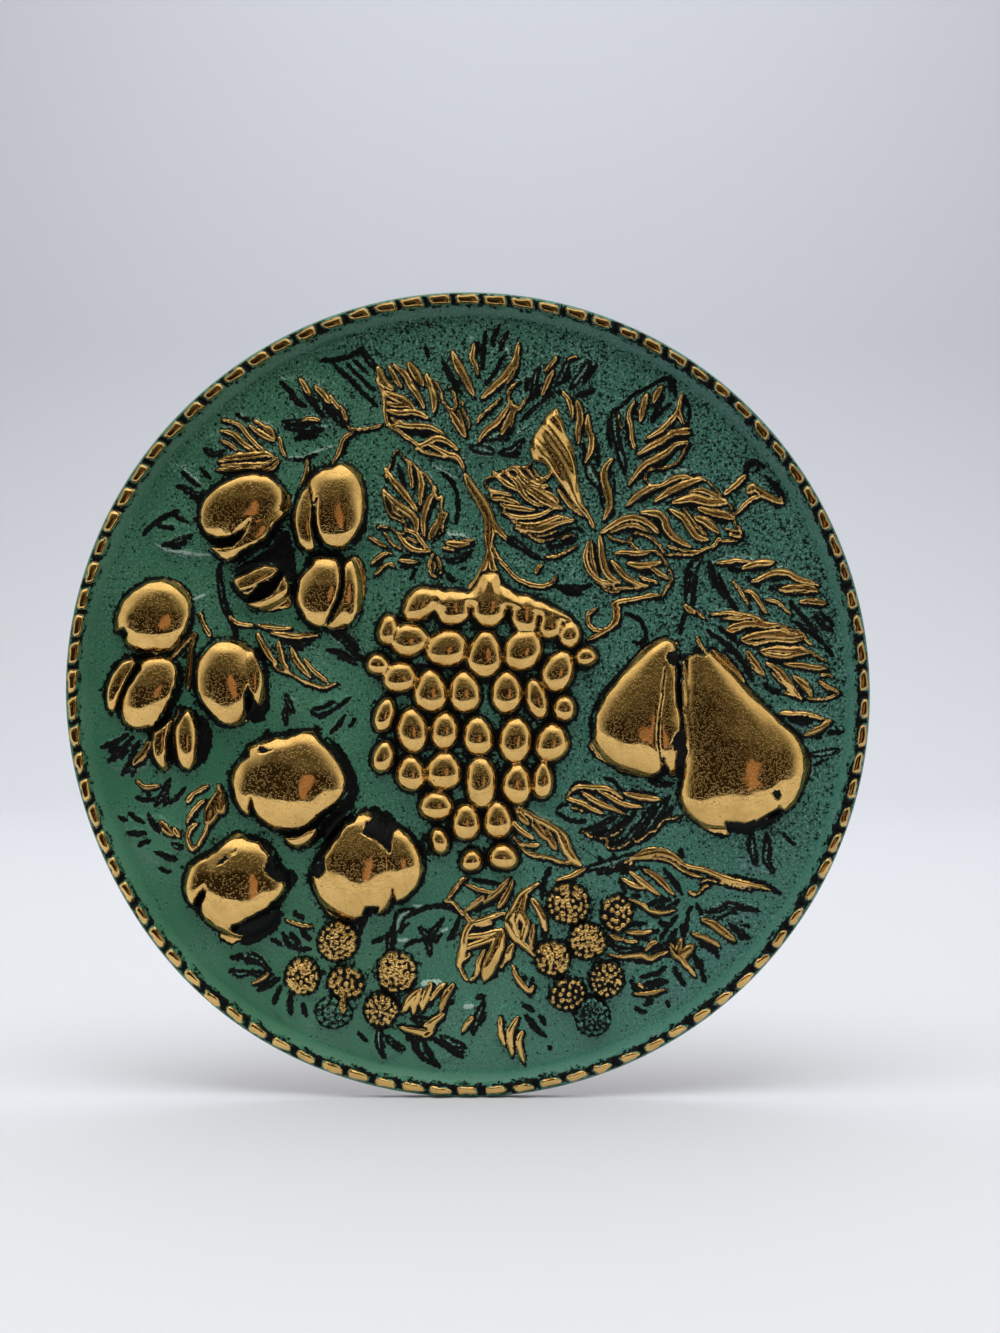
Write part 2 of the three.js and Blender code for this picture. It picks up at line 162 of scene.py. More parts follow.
# %% Fruit tables
PLUMS = [
    [-58.2, 47.2, 12.2, 9.0, 22, 1.0],
    [-55.8, 40.6, 10.8, 6.0, 26, 0.82],
    [-34.0, 47.7, 8.6, 11.3, 0, 1.0],
    [-40.6, 44.4, 4.6, 9.0, 4, 0.8],
    [-53.6, 28.6, 7.6, 4.6, 22, 0.8],
    [-50.2, 26.0, 6.8, 4.0, 26, 0.7],
    [-36.0, 26.0, 8.8, 9.8, 0, 1.0],
    [-29.6, 26.0, 3.4, 8.6, 0, 0.75],
    [-79.5, 19.7, 10.0, 9.7, 0, 1.0],
    [-80.0, 0.6, 10.2, 7.8, 62, 1.0],
    [-87.4, 2.6, 8.6, 4.0, 64, 0.8],
    [-61.2, 3.0, 8.7, 11.3, 0, 1.0],
    [-54.2, 3.6, 3.6, 8.6, -6, 0.75],
    [-77.0, -11.6, 3.4, 8.4, -8, 0.8],
    [-71.2, -11.4, 3.6, 8.4, 0, 0.8],
]
PEACHES = [
    [-45.0, -22.0, 14.2, 12.8, 0, 1.0],
    [-53.4, -21.6, 6.6, 10.0, -12, 0.78],
    [-42.0, -34.8, 5.6, 3.6, 32, 0.5],
    [-57.6, -48.4, 12.6, 12.8, 0, 1.0],
    [-66.6, -48.2, 5.6, 9.6, -8, 0.8],
    [-28.0, -43.6, 11.8, 13.8, 0, 1.0],
    [-18.0, -43.0, 7.0, 10.4, 8, 0.82],
]
GRAPES = [
    [-12.0, 23.0, 5.2, 4.2, 30],
    [-3.7, 22.0, 4.5, 5.0, 0],
    [5.3, 22.0, 4.6, 5.6, 0],
    [14.3, 20.3, 3.8, 4.8, -8],
    [20.8, 18.0, 3.4, 4.2, -10],
    [25.8, 15.2, 3.0, 3.6, -20],
    [-20.0, 16.5, 3.2, 4.2, -12],
    [-14.7, 14.0, 5.1, 4.4, 20],
    [-5.3, 11.7, 5.4, 5.0, 0],
    [4.4, 10.3, 4.4, 5.8, 0],
    [14.1, 11.5, 5.0, 5.8, -18],
    [22.8, 6.0, 4.1, 5.8, -16],
    [29.8, 9.7, 3.3, 2.8, 0],
    [-23.0, 7.5, 3.1, 3.0, 0],
    [-17.2, 4.5, 4.6, 4.2, 0],
    [-9.3, 0.9, 4.4, 5.6, 0],
    [-0.6, 0.8, 4.2, 5.6, 0],
    [9.7, 0.9, 4.1, 5.6, 0],
    [17.2, -1.2, 3.1, 5.5, 12],
    [24.4, -3.4, 3.2, 3.4, 0],
    [-20.8, -5.1, 3.0, 4.8, -14],
    [-14.0, -9.3, 3.8, 6.1, 0],
    [-5.9, -9.0, 4.1, 4.9, 0],
    [2.8, -10.5, 3.8, 5.3, 0],
    [11.8, -11.4, 4.3, 5.9, 0],
    [21.4, -12.0, 4.6, 5.1, 0],
    [-21.3, -15.9, 2.8, 4.5, -12],
    [-14.6, -20.2, 4.0, 4.6, 0],
    [-6.1, -19.0, 4.8, 5.0, 0],
    [3.5, -22.2, 4.3, 6.6, 0],
    [12.7, -22.4, 3.9, 5.5, 0],
    [19.2, -21.4, 2.8, 5.2, 0],
    [-8.0, -27.7, 4.4, 3.9, 0],
    [-0.6, -32.2, 3.8, 5.0, 0],
    [7.6, -31.6, 3.9, 4.8, 0],
    [-7.2, -36.8, 2.6, 3.9, 14],
    [1.0, -42.2, 3.1, 3.2, 0],
    [9.1, -41.0, 3.8, 3.7, 0],
]
# A pear is a row of circles, [x, y, radius], from its neck to its base.
PEARS = [
    [[50.2, 12.0, 2.6], [49.0, 8.0, 5.2], [47.4, 3.0, 8.0], [45.4, -2.4, 11.0], [43.2, -7.2, 12.7],
     [47.6, -10.8, 10.6]],
    [[59.2, 7.4, 4.6], [61.8, 0.2, 8.0], [64.8, -7.6, 11.0], [68.4, -14.6, 14.2], [70.4, -18.8, 16.0],
     [63.2, -24.8, 9.8]],
]
PLUM_RISE, PLUM_FILLET = 4.8, 0.3
PEACH_RISE, PEACH_FILLET = 5.8, 0.4
PEAR_RISE, PEAR_FILLET = 5.6, 0.25
GRAPE_RISE, GRAPE_FILLET = 3.4, 0.1
PEAR_DOMES = 60
GRAPE_PLUMP = 1.06  # grapes press against each other
GRAPE_EGG = 0.13  # how much narrower a grape is at its top than at its base
CROWN = 1.04  # the domes are drawn larger than the fruit and cut back to its outline
FULLNESS = 2.3  # a higher number makes a dome flatter on top
STEEPNESS = 0.6  # a lower number makes its edge steeper


def dome(rho):
    """A swell's height across it, 1 in the middle and 0 at its edge."""
    return (1 - np.minimum(rho, 1) ** FULLNESS) ** STEEPNESS


def press(part, shape, blend):
    """Adds a shape to the sheet, with a fillet round it."""
    height[part] = merge(height[part], shape, blend)


def swell(x, y, half_w, half_h, turn, rise, blend, egg=0.0):
    """Presses one dome. It returns its window and how far each point lies inside it."""
    part = window((x, y), (x, y), max(half_w, half_h) + 1.5)
    across, up = UNEVEN_X[part] - x, UNEVEN_Y[part] - y
    c, s = np.cos(np.radians(turn)), np.sin(np.radians(turn))
    wide, tall = (across * c + up * s) / half_w, (up * c - across * s) / half_h
    rho = np.hypot(wide / (1 - egg * np.clip(tall, -1, 1)), tall)
    press(part, rise * dome(rho), blend)
    return part, (1 - rho) * min(half_w, half_h)


def pear(circles):
    """The envelope of many domes along a row of circles."""
    circles = np.array(circles)
    along = np.linspace(0, len(circles) - 1, PEAR_DOMES)
    table = [np.interp(along, np.arange(len(circles)), column) for column in circles.T]
    widest = circles[:, 2].max()
    part = window(circles[:, :2].min(0), circles[:, :2].max(0), widest + 2)
    shape = np.zeros_like(height[part])
    for cx, cy, radius in zip(*table):
        rho = np.hypot(UNEVEN_X[part] - cx, UNEVEN_Y[part] - cy) / radius
        rise = PEAR_RISE * (radius / widest) ** 0.55
        shape = np.maximum(shape, rise * dome(rho))
    press(part, shape, PEAR_FILLET)


for rows, rise, fillet in ((PLUMS, PLUM_RISE, PLUM_FILLET), (PEACHES, PEACH_RISE, PEACH_FILLET)):
    for x, y, half_w, half_h, turn, share in rows:
        swell(x, y, half_w * CROWN, half_h * CROWN, turn, rise * share, fillet)
for circles in PEARS:
    pear(circles)
print("fruit stands", round(float(height.max()), 2), "mm proud")

# %% [markdown]
# A rag rubs the crown of each fruit bright and misses its edge, so every fruit has its own ragged bright
# area. Each is an outline of x,y points round the bright metal, with the width of the black border outside.
# A notch in an outline is the cleft of a plum or a peach.

# %% Rubbed areas
RUBBED = [
    # plums
    (0.5, """-67.4,46.5 -66.2,49.3 -63.2,52 -59.5,54.3 -56.2,55.4 -53.4,55.8 -50.5,55.2 -47.2,52.8
     -44.8,50 -44.5,47.8 -45.4,46.4 -47.6,44.4 -49.6,41.6 -50.2,40.2 -53,38.2 -56.2,36.4 -58.6,34.6
     -60.6,33.8 -62.4,34.6 -64,36.2 -65.2,37.4 -62,36.8 -59,37.4 -57,39.4 -55.8,41.6 -57.4,40.8
     -60.6,39.7 -63.8,39.6 -66.2,41 -67.5,43.6"""),
    (0.4, """-34,57.4 -32,58.6 -29.4,57.8 -27.2,55.6 -26,52 -25.8,48 -26.4,44 -28,40.6 -29.6,38.2
     -31.6,37 -34,36.9 -36,38 -37.4,40.2 -38.2,43 -38.4,46 -37.8,49.6 -38.9,46.4 -39.3,43 -38.9,40
     -38,37.6 -39,36.2 -41,36.2 -42.6,38.2 -43.4,41 -43.8,44 -43.2,47.6 -41.8,51 -39.6,54.4
     -37,56.6"""),
    (0.5, """-59.4,29.2 -57.4,29.6 -54,31.4 -51,32.8 -48.4,32.4 -47.6,31.2 -49.6,29 -52.6,27.6
     -55.4,24.8 -57.6,26"""),
    (0.5, """-55.8,22.8 -52.6,23.6 -49,25.4 -46,30.4 -45.2,28 -44.8,24.2 -45.2,22.2 -48.6,21.4 -52,21.2
     -54.4,21.9"""),
    (0.4, """-42.8,26 -42.4,29 -40.6,31.4 -39,32.6 -38.6,34.4 -36.8,34.8 -33.2,34.4 -32.3,32.6 -31.9,30
     -31.9,27 -32.8,24 -34.5,20.6 -35.5,18.4 -36.6,17 -38.4,17.4 -40.6,18.8 -42.2,21.6 -43,24"""),
    (0.4, """-31.1,30.6 -31.2,33.4 -29.8,34.8 -28,35 -26.4,33 -25.8,30 -25.8,26 -27,21.4 -29,18.2
     -31.4,16.6 -34.6,16.4 -36,17.4 -34.4,18.6 -33,21.4 -31.6,24.2 -30.9,27.4"""),
    (0.4, """-89.4,15.6 -88.6,20 -87.4,23 -84.6,26 -80.8,28.4 -76.6,29.4 -73,28.6 -70.6,26.2 -69.8,23
     -70.2,19.4 -71.2,16 -73.4,13 -75,11 -78.4,10.2 -82.4,10.5 -85,11.2 -86.6,13 -85.6,15.2 -86.6,16.8
     -88.4,16.2"""),
    (0.5, """-91.2,-1 -91,2 -89.4,5.6 -87.2,8.2 -84.4,9 -83.6,8 -84.6,5.6 -86.4,2.4 -88.2,-1.4
     -89.2,-4.4 -90.6,-3.6"""),
    (0.5, """-83,8.4 -80,9.2 -76.6,9.6 -74,8 -73.2,5 -73.6,2 -74.8,-1.4 -77,-5 -79.2,-7.8 -82,-8.8
     -84.6,-8.9 -87,-7.2 -87.8,-5 -87.2,-1.8 -85.6,1.8 -83.4,4.6 -82.2,6.6"""),
    (0.4, """-68.4,5 -68,8.4 -66,11.2 -63.6,13.4 -60,13.9 -56.6,13.2 -53.8,10.4 -51.8,6.6 -51.2,3
     -51.2,-0.8 -52.2,-3.4 -53.8,-1.4 -55.4,2.4 -56,-1 -56.2,-4.4 -55.8,-6.8 -58,-7.8 -61,-7.6
     -63.8,-5.6 -66.4,-2.4 -68.2,1"""),
    (0.5, """-73,-3 -74.4,-6 -76.4,-8 -79,-9.6 -79.6,-12.6 -78.8,-16 -77,-19 -75.6,-19.2 -76,-15
     -75.8,-11 -74.4,-8 -73,-5"""),
    (0.5, """-71,-3.8 -69.4,-4 -68.2,-7 -68,-12 -68.4,-17 -70,-19 -72,-18.4 -73.8,-16 -74.4,-12
     -74,-8.4 -72.6,-6.4"""),
    # peaches
    (0.9, """-59,-18.6 -57,-16.6 -55,-15.4 -55.6,-13.4 -53,-12.2 -50,-11.6 -48,-10.6 -45.6,-11 -44,-10
     -41,-9.2 -39,-9.4 -37.6,-11.6 -35,-14 -33.2,-16 -31.8,-18.6 -30.4,-21 -31.2,-24.6 -33,-27.4
     -35,-28.6 -37.4,-30.4 -40.4,-33 -42.6,-33.8 -46,-34.2 -49,-34 -51.6,-32 -53.6,-29.4 -54.6,-26
     -54.9,-29 -55.2,-30.6 -57,-29.4 -58.6,-26.6 -59.4,-23.4 -59.8,-21"""),
    (0.6, """-46.4,-36.2 -43.4,-36 -40.8,-34.6 -38,-33.6 -38.6,-36 -40.4,-38.2 -43,-38.8 -45,-37.8"""),
    (0.7, """-71,-45.6 -70.4,-43.4 -66.6,-41.4 -63.4,-39.6 -60.6,-36.6 -58.6,-34.8 -56.8,-34.7
     -55.8,-36.4 -52.2,-37 -51.8,-38.6 -50.2,-40 -49.8,-41.8 -50.8,-43.6 -50,-45 -48,-46.6 -45.6,-47.4
     -46.4,-49.6 -48,-51.4 -50.4,-53.8 -53.4,-55.4 -56.4,-57 -59,-58.2 -59.8,-59.6 -57.4,-60.6
     -56,-60.2 -57.4,-62 -60,-63 -62.8,-61.4 -61.6,-59.8 -63.4,-59.4 -65.8,-57.8 -67,-55.4 -67,-52.6
     -66,-50.6 -65.8,-49.2 -67,-49.8 -68.4,-51.4 -69.2,-53.4 -70.8,-51.8 -71.8,-48.8"""),
    (0.7, """-27.4,-29.6 -25,-29.4 -23.6,-31.4 -25.4,-32.4 -25.8,-34.2 -23.6,-35.6 -21.4,-37.2
     -19.6,-39.4 -19.2,-37.2 -19,-34.6 -17.2,-33.4 -15,-35.4 -13,-38.2 -11.6,-41.4 -11.2,-44.6
     -12.6,-48 -15,-51 -18,-52.6 -18.6,-50.6 -19.6,-52.6 -20,-54.8 -22.6,-55.2 -22.2,-53.6 -25.6,-53.4
     -26.4,-56 -29,-57.2 -32,-57.2 -35,-55.6 -37.6,-52.4 -39,-48.6 -39.4,-45 -37.4,-45.6 -36,-44
     -36.4,-41 -34.6,-38.4 -32.4,-35.4 -30.6,-32.6 -28.4,-31.8"""),
    # pears
    (0.6, """45.6,12.2 47.4,13.6 50.2,14.6 52.4,13.2 53.4,13.4 52.6,11 50.8,10.6 51.4,8.4 52.4,7.4
     52.6,4 52.6,0 53,-3 53.8,-6 53.4,-10 53,-14 52.6,-17 52.8,-20.6 51.6,-20.4 50,-18 49.4,-15.6
     49,-19.4 46.6,-20.8 43,-20.6 39.6,-19.8 35.4,-17.4 31.6,-14.8 30.4,-13 32,-11 32,-7.6 32.2,-5
     33.6,-2.8 34.4,-0.6 36.6,2.2 38.8,5 41.6,8.2 43.4,10.2"""),
    (0.6, """54.4,8 55.8,10 58,10.2 60,9.8 61.4,11.4 64.4,10.6 67,8.2 69,5.6 70.4,2.4 73,-0.6 76,-4
     79.4,-7.6 83,-10.6 85.4,-13.8 86.6,-17.2 86.2,-21 84.6,-24.2 82.8,-27.6 80,-29.6 78.6,-28.6 76,-30
     72.6,-32.2 68.6,-33 65.2,-32.4 67.4,-35 64,-35.4 60.6,-34.4 57.6,-32.2 55,-29.8 53.6,-26.6
     53.8,-23.6 54.8,-20 54.4,-16 54.6,-12 54.4,-8 54.2,-4 54,0 54.2,4"""),
    # the top row of grapes, which runs up into the stalks as one cap
    (0.4, """-15.4,22.1 -13.2,25 -10.7,26.8 -7.1,27.3 -5.4,26 -1.4,26.4 0.7,26.4 2.5,28.6 3.6,31 7.9,31
     8.9,27.9 12.9,25.7 18.6,23.9 22.9,22.1 26.4,19.6 28.6,16.8 28.9,13.9 27.1,11.1 24.3,11.8 22.9,13.2
     24.3,14.8 21.1,14.6 18.6,16.1 17.1,18.4 16.2,17.5 14.3,17.1 11.4,17.9 10,20.4 8.9,18.2 7.1,16.8
     4.3,16.1 2.1,17.1 1.1,19.3 0.4,22 -0.4,18.2 -2.9,16.8 -6.4,17.1 -8.2,18.6 -8.8,21.7 -9.6,18.9
     -12.9,18.2 -14.6,19.6"""),
]
# Black on the shaded right and lower sides of the fruit and between fruit, which is painted shade, and a few
# black marks on the fruit.
PAINTED_SHADE_AND_BLACK = [
    """-48.5,40.5 -45,41.5 -44,38 -43.6,33 -44.4,28 -47,31 -50,33.4 -54,32 -59.4,30 -57,32.6 -52,35.6
    -49.5,38""",
    """-68.2,-5 -66.4,-6 -64.8,-9.6 -64.8,-13.4 -66.2,-17 -68.2,-18.4 -68,-12""",
    """-36,-10.4 -33.6,-12 -30.4,-15.6 -28.2,-19.6 -27.6,-24 -28.8,-27.6 -31,-31 -35,-35.6 -39,-39
    -36,-35 -38,-33 -35,-30.4 -31.4,-27.4 -30.2,-23.6 -30.8,-20 -32,-17""",
    """-51.6,-37.2 -49.6,-38.8 -48.6,-41.6 -48,-44.2 -44,-44.6 -43,-46.6 -44.4,-49 -46,-50.4
    -45.4,-47.2 -48.6,-46.4 -50.6,-44.2 -49.8,-40.6""",
    """-57,-57.6 -53,-55.8 -49.4,-54.4 -47,-55.2 -47.6,-58 -50.6,-61 -54,-63 -57.6,-63.4 -55.6,-60.6
    -58.8,-60.2""",
    """-28.6,-30.6 -26.6,-28.4 -23,-28.2 -19.4,-30.6 -17,-32.8 -19.2,-34.6 -19.4,-39.6 -22.4,-36.8
    -26.2,-34.4 -25.4,-32 -23.4,-31.4 -25,-29.2""",
    """-39.8,-44.6 -38,-42.6 -36.2,-41.4 -36,-44.4 -37.4,-46 -39.4,-45.6""",
    """65.4,-32.4 70,-32.6 76,-31 79,-30 78,-32 74,-33.6 70,-35 66.8,-34.6""",
    """52.4,-9.6 54.6,-8 55.2,-16 54.6,-21 52.8,-19 53,-14 51.4,-12.6""",
    """50.6,10.4 53.2,11 53.4,8 52,7.4 50.2,9.2""",
    """-52.8,-13.2 -50.6,-13.4 -49,-13.9 -50.8,-14.5 -52.6,-14.1""",
    """-62.8,-42.6 -61,-40.8 -58,-39 -58.4,-39.8 -60.8,-41.6 -62.4,-43.2""",
    """-55.4,-5.4 -54.4,0 -52.6,-3.6 -51,-2 -50.6,2 -50,-2 -51.6,-6.4 -54.6,-7.2""",
    """76.4,-24.2 78,-23.2 78.8,-25 77.6,-26""",
]


def depth_inside(outline, px, py):
    """How far points lie inside a closed outline, in mm, and below zero outside."""
    nearest = np.full(px.shape, 99.0)
    crossings = np.zeros(px.shape, int)
    for a, b in zip(outline, np.roll(outline, -1, 0)):
        along = b - a
        t = np.clip(((px - a[0]) * along[0] + (py - a[1]) * along[1]) / (along @ along), 0, 1)
        nearest = np.minimum(nearest, np.hypot(px - a[0] - t * along[0], py - a[1] - t * along[1]))
        straddles = (a[1] > py) != (b[1] > py)
        rise_per = along[1] if along[1] else 1e-9
        crossings += straddles & (px < a[0] + (py - a[1]) * along[0] / rise_per)
    return np.where(crossings % 2 == 1, nearest, -nearest)


def points_of(text):
    """Points written as x,y pairs with spaces between them."""
    return np.array([[float(v) for v in pair.split(",")] for pair in text.split()])


def area(text):
    """The window round an outline and how far its points lie inside."""
    outline = points_of(text)
    part = window(outline.min(0), outline.max(0), 3)
    return part, depth_inside(outline, GRID_X[part] + CHEWED_X[part], GRID_Y[part] + CHEWED_Y[part])


def stand(part, inside, foot):
    """Keeps the fruit standing inside an outline, with a steep wall from `foot` mm outside it."""
    lift(wall, part, dome(1 - np.clip((inside + foot) / WALL, 0, 1)))


WALL = 1.3  # width of the steep wall round a fruit
BRIGHT_FOOT = 0.7
BLACK_FOOT = 0.4
GRAPE_RIM = 0.32  # how far inside a grape's edge the rag reached
GRAPE_SEAM = 0.12  # how far the black between two grapes reaches onto the field
CHEWED_X = 0.16 * noise(1.6, 51)
CHEWED_Y = 0.16 * noise(1.6, 53)
CHEWED = waves((0.28, 1.1, 52), (0.16, 0.6, 54))
wall = layer(0.0)
for border, outline in RUBBED:
    part, inside = area(outline)
    stand(part, inside, BRIGHT_FOOT)
    inside = inside + CHEWED[part]
    lift(polish, part, inside)
    lift(dark, part, inside + border * (1 + 0.7 * UNEVEN_BORDER[part]))
# Painted shade and black marks: black, and never polished.
for outline in PAINTED_SHADE_AND_BLACK:
    part, inside = area(outline)
    stand(part, inside, BLACK_FOOT)
    inside = inside + 1.6 * CHEWED[part]
    lower(polish, part, -inside - 0.1)
    lift(dark, part, inside + 0.2)
height *= wall
for x, y, half_w, half_h, turn in GRAPES:
    rise = GRAPE_RISE * (0.8 + 0.2 * half_w / 5)  # a small grape stands lower
    half_w, half_h = half_w * GRAPE_PLUMP, half_h * GRAPE_PLUMP
    part, inside = swell(x, y, half_w, half_h, turn, rise, GRAPE_FILLET, GRAPE_EGG)
    lift(polish, part, inside - GRAPE_RIM + 0.5 * CHEWED[part])
    lift(dark, part, inside + GRAPE_SEAM + 0.5 * CHEWED[part])
print(len(RUBBED), "rubbed areas")

# %% [markdown]
# ## Leaves, stems and tendrils
# On the real die a leaf is a low shield, and its ribs are cut as separate tapering ridges. They are drawn
# the same way: a flat swelling for the leaf, then one stroke for each rib. A stroke reads as its kind, its
# width in mm and then the x,y points of its line. The kinds say what handling did to the ridge, and where
# a highlight is painted: G a rib rubbed bright, g a fine bright line, b a tarnished brown rib, d a rib still
# black, k a fine black line, n a ridge under paint, w a ridge with pale paint on it, partly worn paint and
# partly a painted highlight, v a crease.

# %% Leaf table
# A leaf is [base x, base y, tip x, tip y, width, how black it is left].
LEAVES = [
    [-48.0, 62.0, -66.0, 64.6, 13, 0.8],
    [-31.0, 69.0, -46.6, 80.0, 12, 0.9],
    [-65.0, 37.4, -81.4, 42.0, 9, 0.5],
    [-68.0, 54.0, -76.0, 58.0, 6, 0.7],
    [-53.6, 16.0, -33.0, 2.6, 10, 0.7],
    [-26.6, 9.0, -35.0, 16.0, 6, 0.8],
    [62.0, 33.0, 91.0, 17.0, 15, 0.7],
    [60.0, 19.5, 93.6, 1.4, 15, 0.6],
    [12.0, -30.0, 28.0, -42.2, 10, 0.6],
    [52.6, -26.0, 24.0, -30.0, 15, 0.7],
    [76.6, -4.0, 93.6, -8.6, 6, 0.5],
    [69.6, -35.0, 78.0, -45.0, 11, 0.5],
    [-45.0, -0.6, -44.4, -8.0, 5, 0.5],
    [-30.0, -0.6, -40.6, -4.6, 5, 0.4],
    [-65.2, -22.8, -70.4, -38.6, 7, 0.5],
    [-62.6, -23.4, -65.4, -33.0, 5, 0.5],
    [-72.4, -39.0, -88.0, -32.6, 12, 0.5],
    [-80.0, -12.0, -91.6, -17.6, 11, 0.5],
    [17.0, -49.0, 14.6, -65.0, 10, 0.5],
    [6.6, -56.0, 1.0, -72.4, 12, 0.4],
    [9.4, -47.0, -5.0, -52.0, 8, 0.5],
    [39.2, -45.8, 52.0, -54.6, 9, 0.6],
    [61.0, -55.0, 73.6, -54.6, 5, 0.7],
    [58.6, -57.4, 70.6, -62.6, 7, 0.7],
    [51.6, -60.6, 37.2, -64.4, 7, 0.7],
    [53.6, -62.4, 57.6, -71.6, 7, 0.7],
    [53.0, -69.6, 42.4, -76.6, 11, 0.5],
    [3.4, -76.4, 0.2, -84.6, 6, 0.4],
    [8.6, -79.0, 13.4, -92.4, 10, 0.3],
    [11.4, -68.8, 17.2, -76.8, 6, 0.5],
    [-5.0, -74.6, -15.4, -84.4, 12, 0.6],
    [-40.6, -57.0, -48.0, -63.4, 9, 0.5],
    [-50.4, -67.6, -59.4, -70.4, 7, 0.7],
    [-41.6, -74.4, -48.0, -81.6, 9, 0.3],
    [-20.0, -84.4, -22.0, -93.2, 9, 0.4],
    [-11.6, -86.6, -3.0, -92.4, 8, 0.4],
    # Lobes of the three vine leaves.
    [1.5, 62.6, -20.0, 68.0, 10, 0.6],
    [1.5, 62.6, -21.4, 77.6, 14, 0.9],
    [1.5, 62.6, -2.4, 89.0, 11, 0.6],
    [1.5, 62.6, 9.6, 90.4, 12, 0.6],
    [1.5, 62.6, 31.4, 84.4, 14, 0.8],
    [-9.5, 37.6, -17.6, 61.0, 14, 0.6],
    [-9.5, 37.6, -24.6, 42.8, 9, 0.7],
    [-9.5, 37.6, 1.6, 38.8, 7, 0.4],
    [-9.5, 37.6, -8.6, 29.6, 5, 0.6],
    [-9.5, 37.6, -23.0, 31.0, 7, 0.7],
    [31.0, 40.6, 20.6, 75.0, 15, 0.5],
    [31.0, 40.6, 5.4, 54.2, 17, 0.5],
    [31.0, 40.6, 49.6, 78.6, 19, 0.85],
    [31.0, 40.6, 69.4, 40.6, 20, 0.5],
    [31.0, 40.6, 50.4, 26.4, 11, 0.6],
    [31.0, 40.6, 37.6, 27.0, 9, 0.5],
    [31.0, 40.6, 30.6, 27.8, 9, 0.5],
]
LEAF_RISE = 0.55
LEAF_SLOPE = 1.6  # width of the slope from the field up to a leaf
BLACK_REACH = 2.2  # how far the black left on a leaf reaches beyond it
ridge_floor, shade, vein = [layer(0.0) for _ in range(3)]


def leaf(base_x, base_y, tip_x, tip_y, width, black):
    """A low shield with a pointed tip. It also notes how much black is left on it."""
    base, tip = np.array([base_x, base_y]), np.array([tip_x, tip_y])
    along = tip - base
    length = np.hypot(*along)
    along /= length
    part = window(np.minimum(base, tip), np.maximum(base, tip), width / 2 + 3)
    dx, dy = WAVY_X[part] - base_x, WAVY_Y[part] - base_y
    t = (dx * along[0] + dy * along[1]) / length
    side = np.abs(dy * along[0] - dx * along[1])
    half = width / 2 * np.maximum(np.sin(np.pi * np.clip(t, 0, 1) ** 0.75), 0) ** 0.7
    beyond = np.maximum(np.maximum(-t, t - 1), 0) * length
    inside = half - side - beyond
    lift(ridge_floor, part, LEAF_RISE * np.clip(inside / LEAF_SLOPE + 0.3, 0, 1))
    lift(shade, part, black * np.clip((inside + BLACK_REACH) / 2.6, 0, 1))


for row in LEAVES:
    leaf(*row)
print(len(LEAVES), "leaves and lobes")

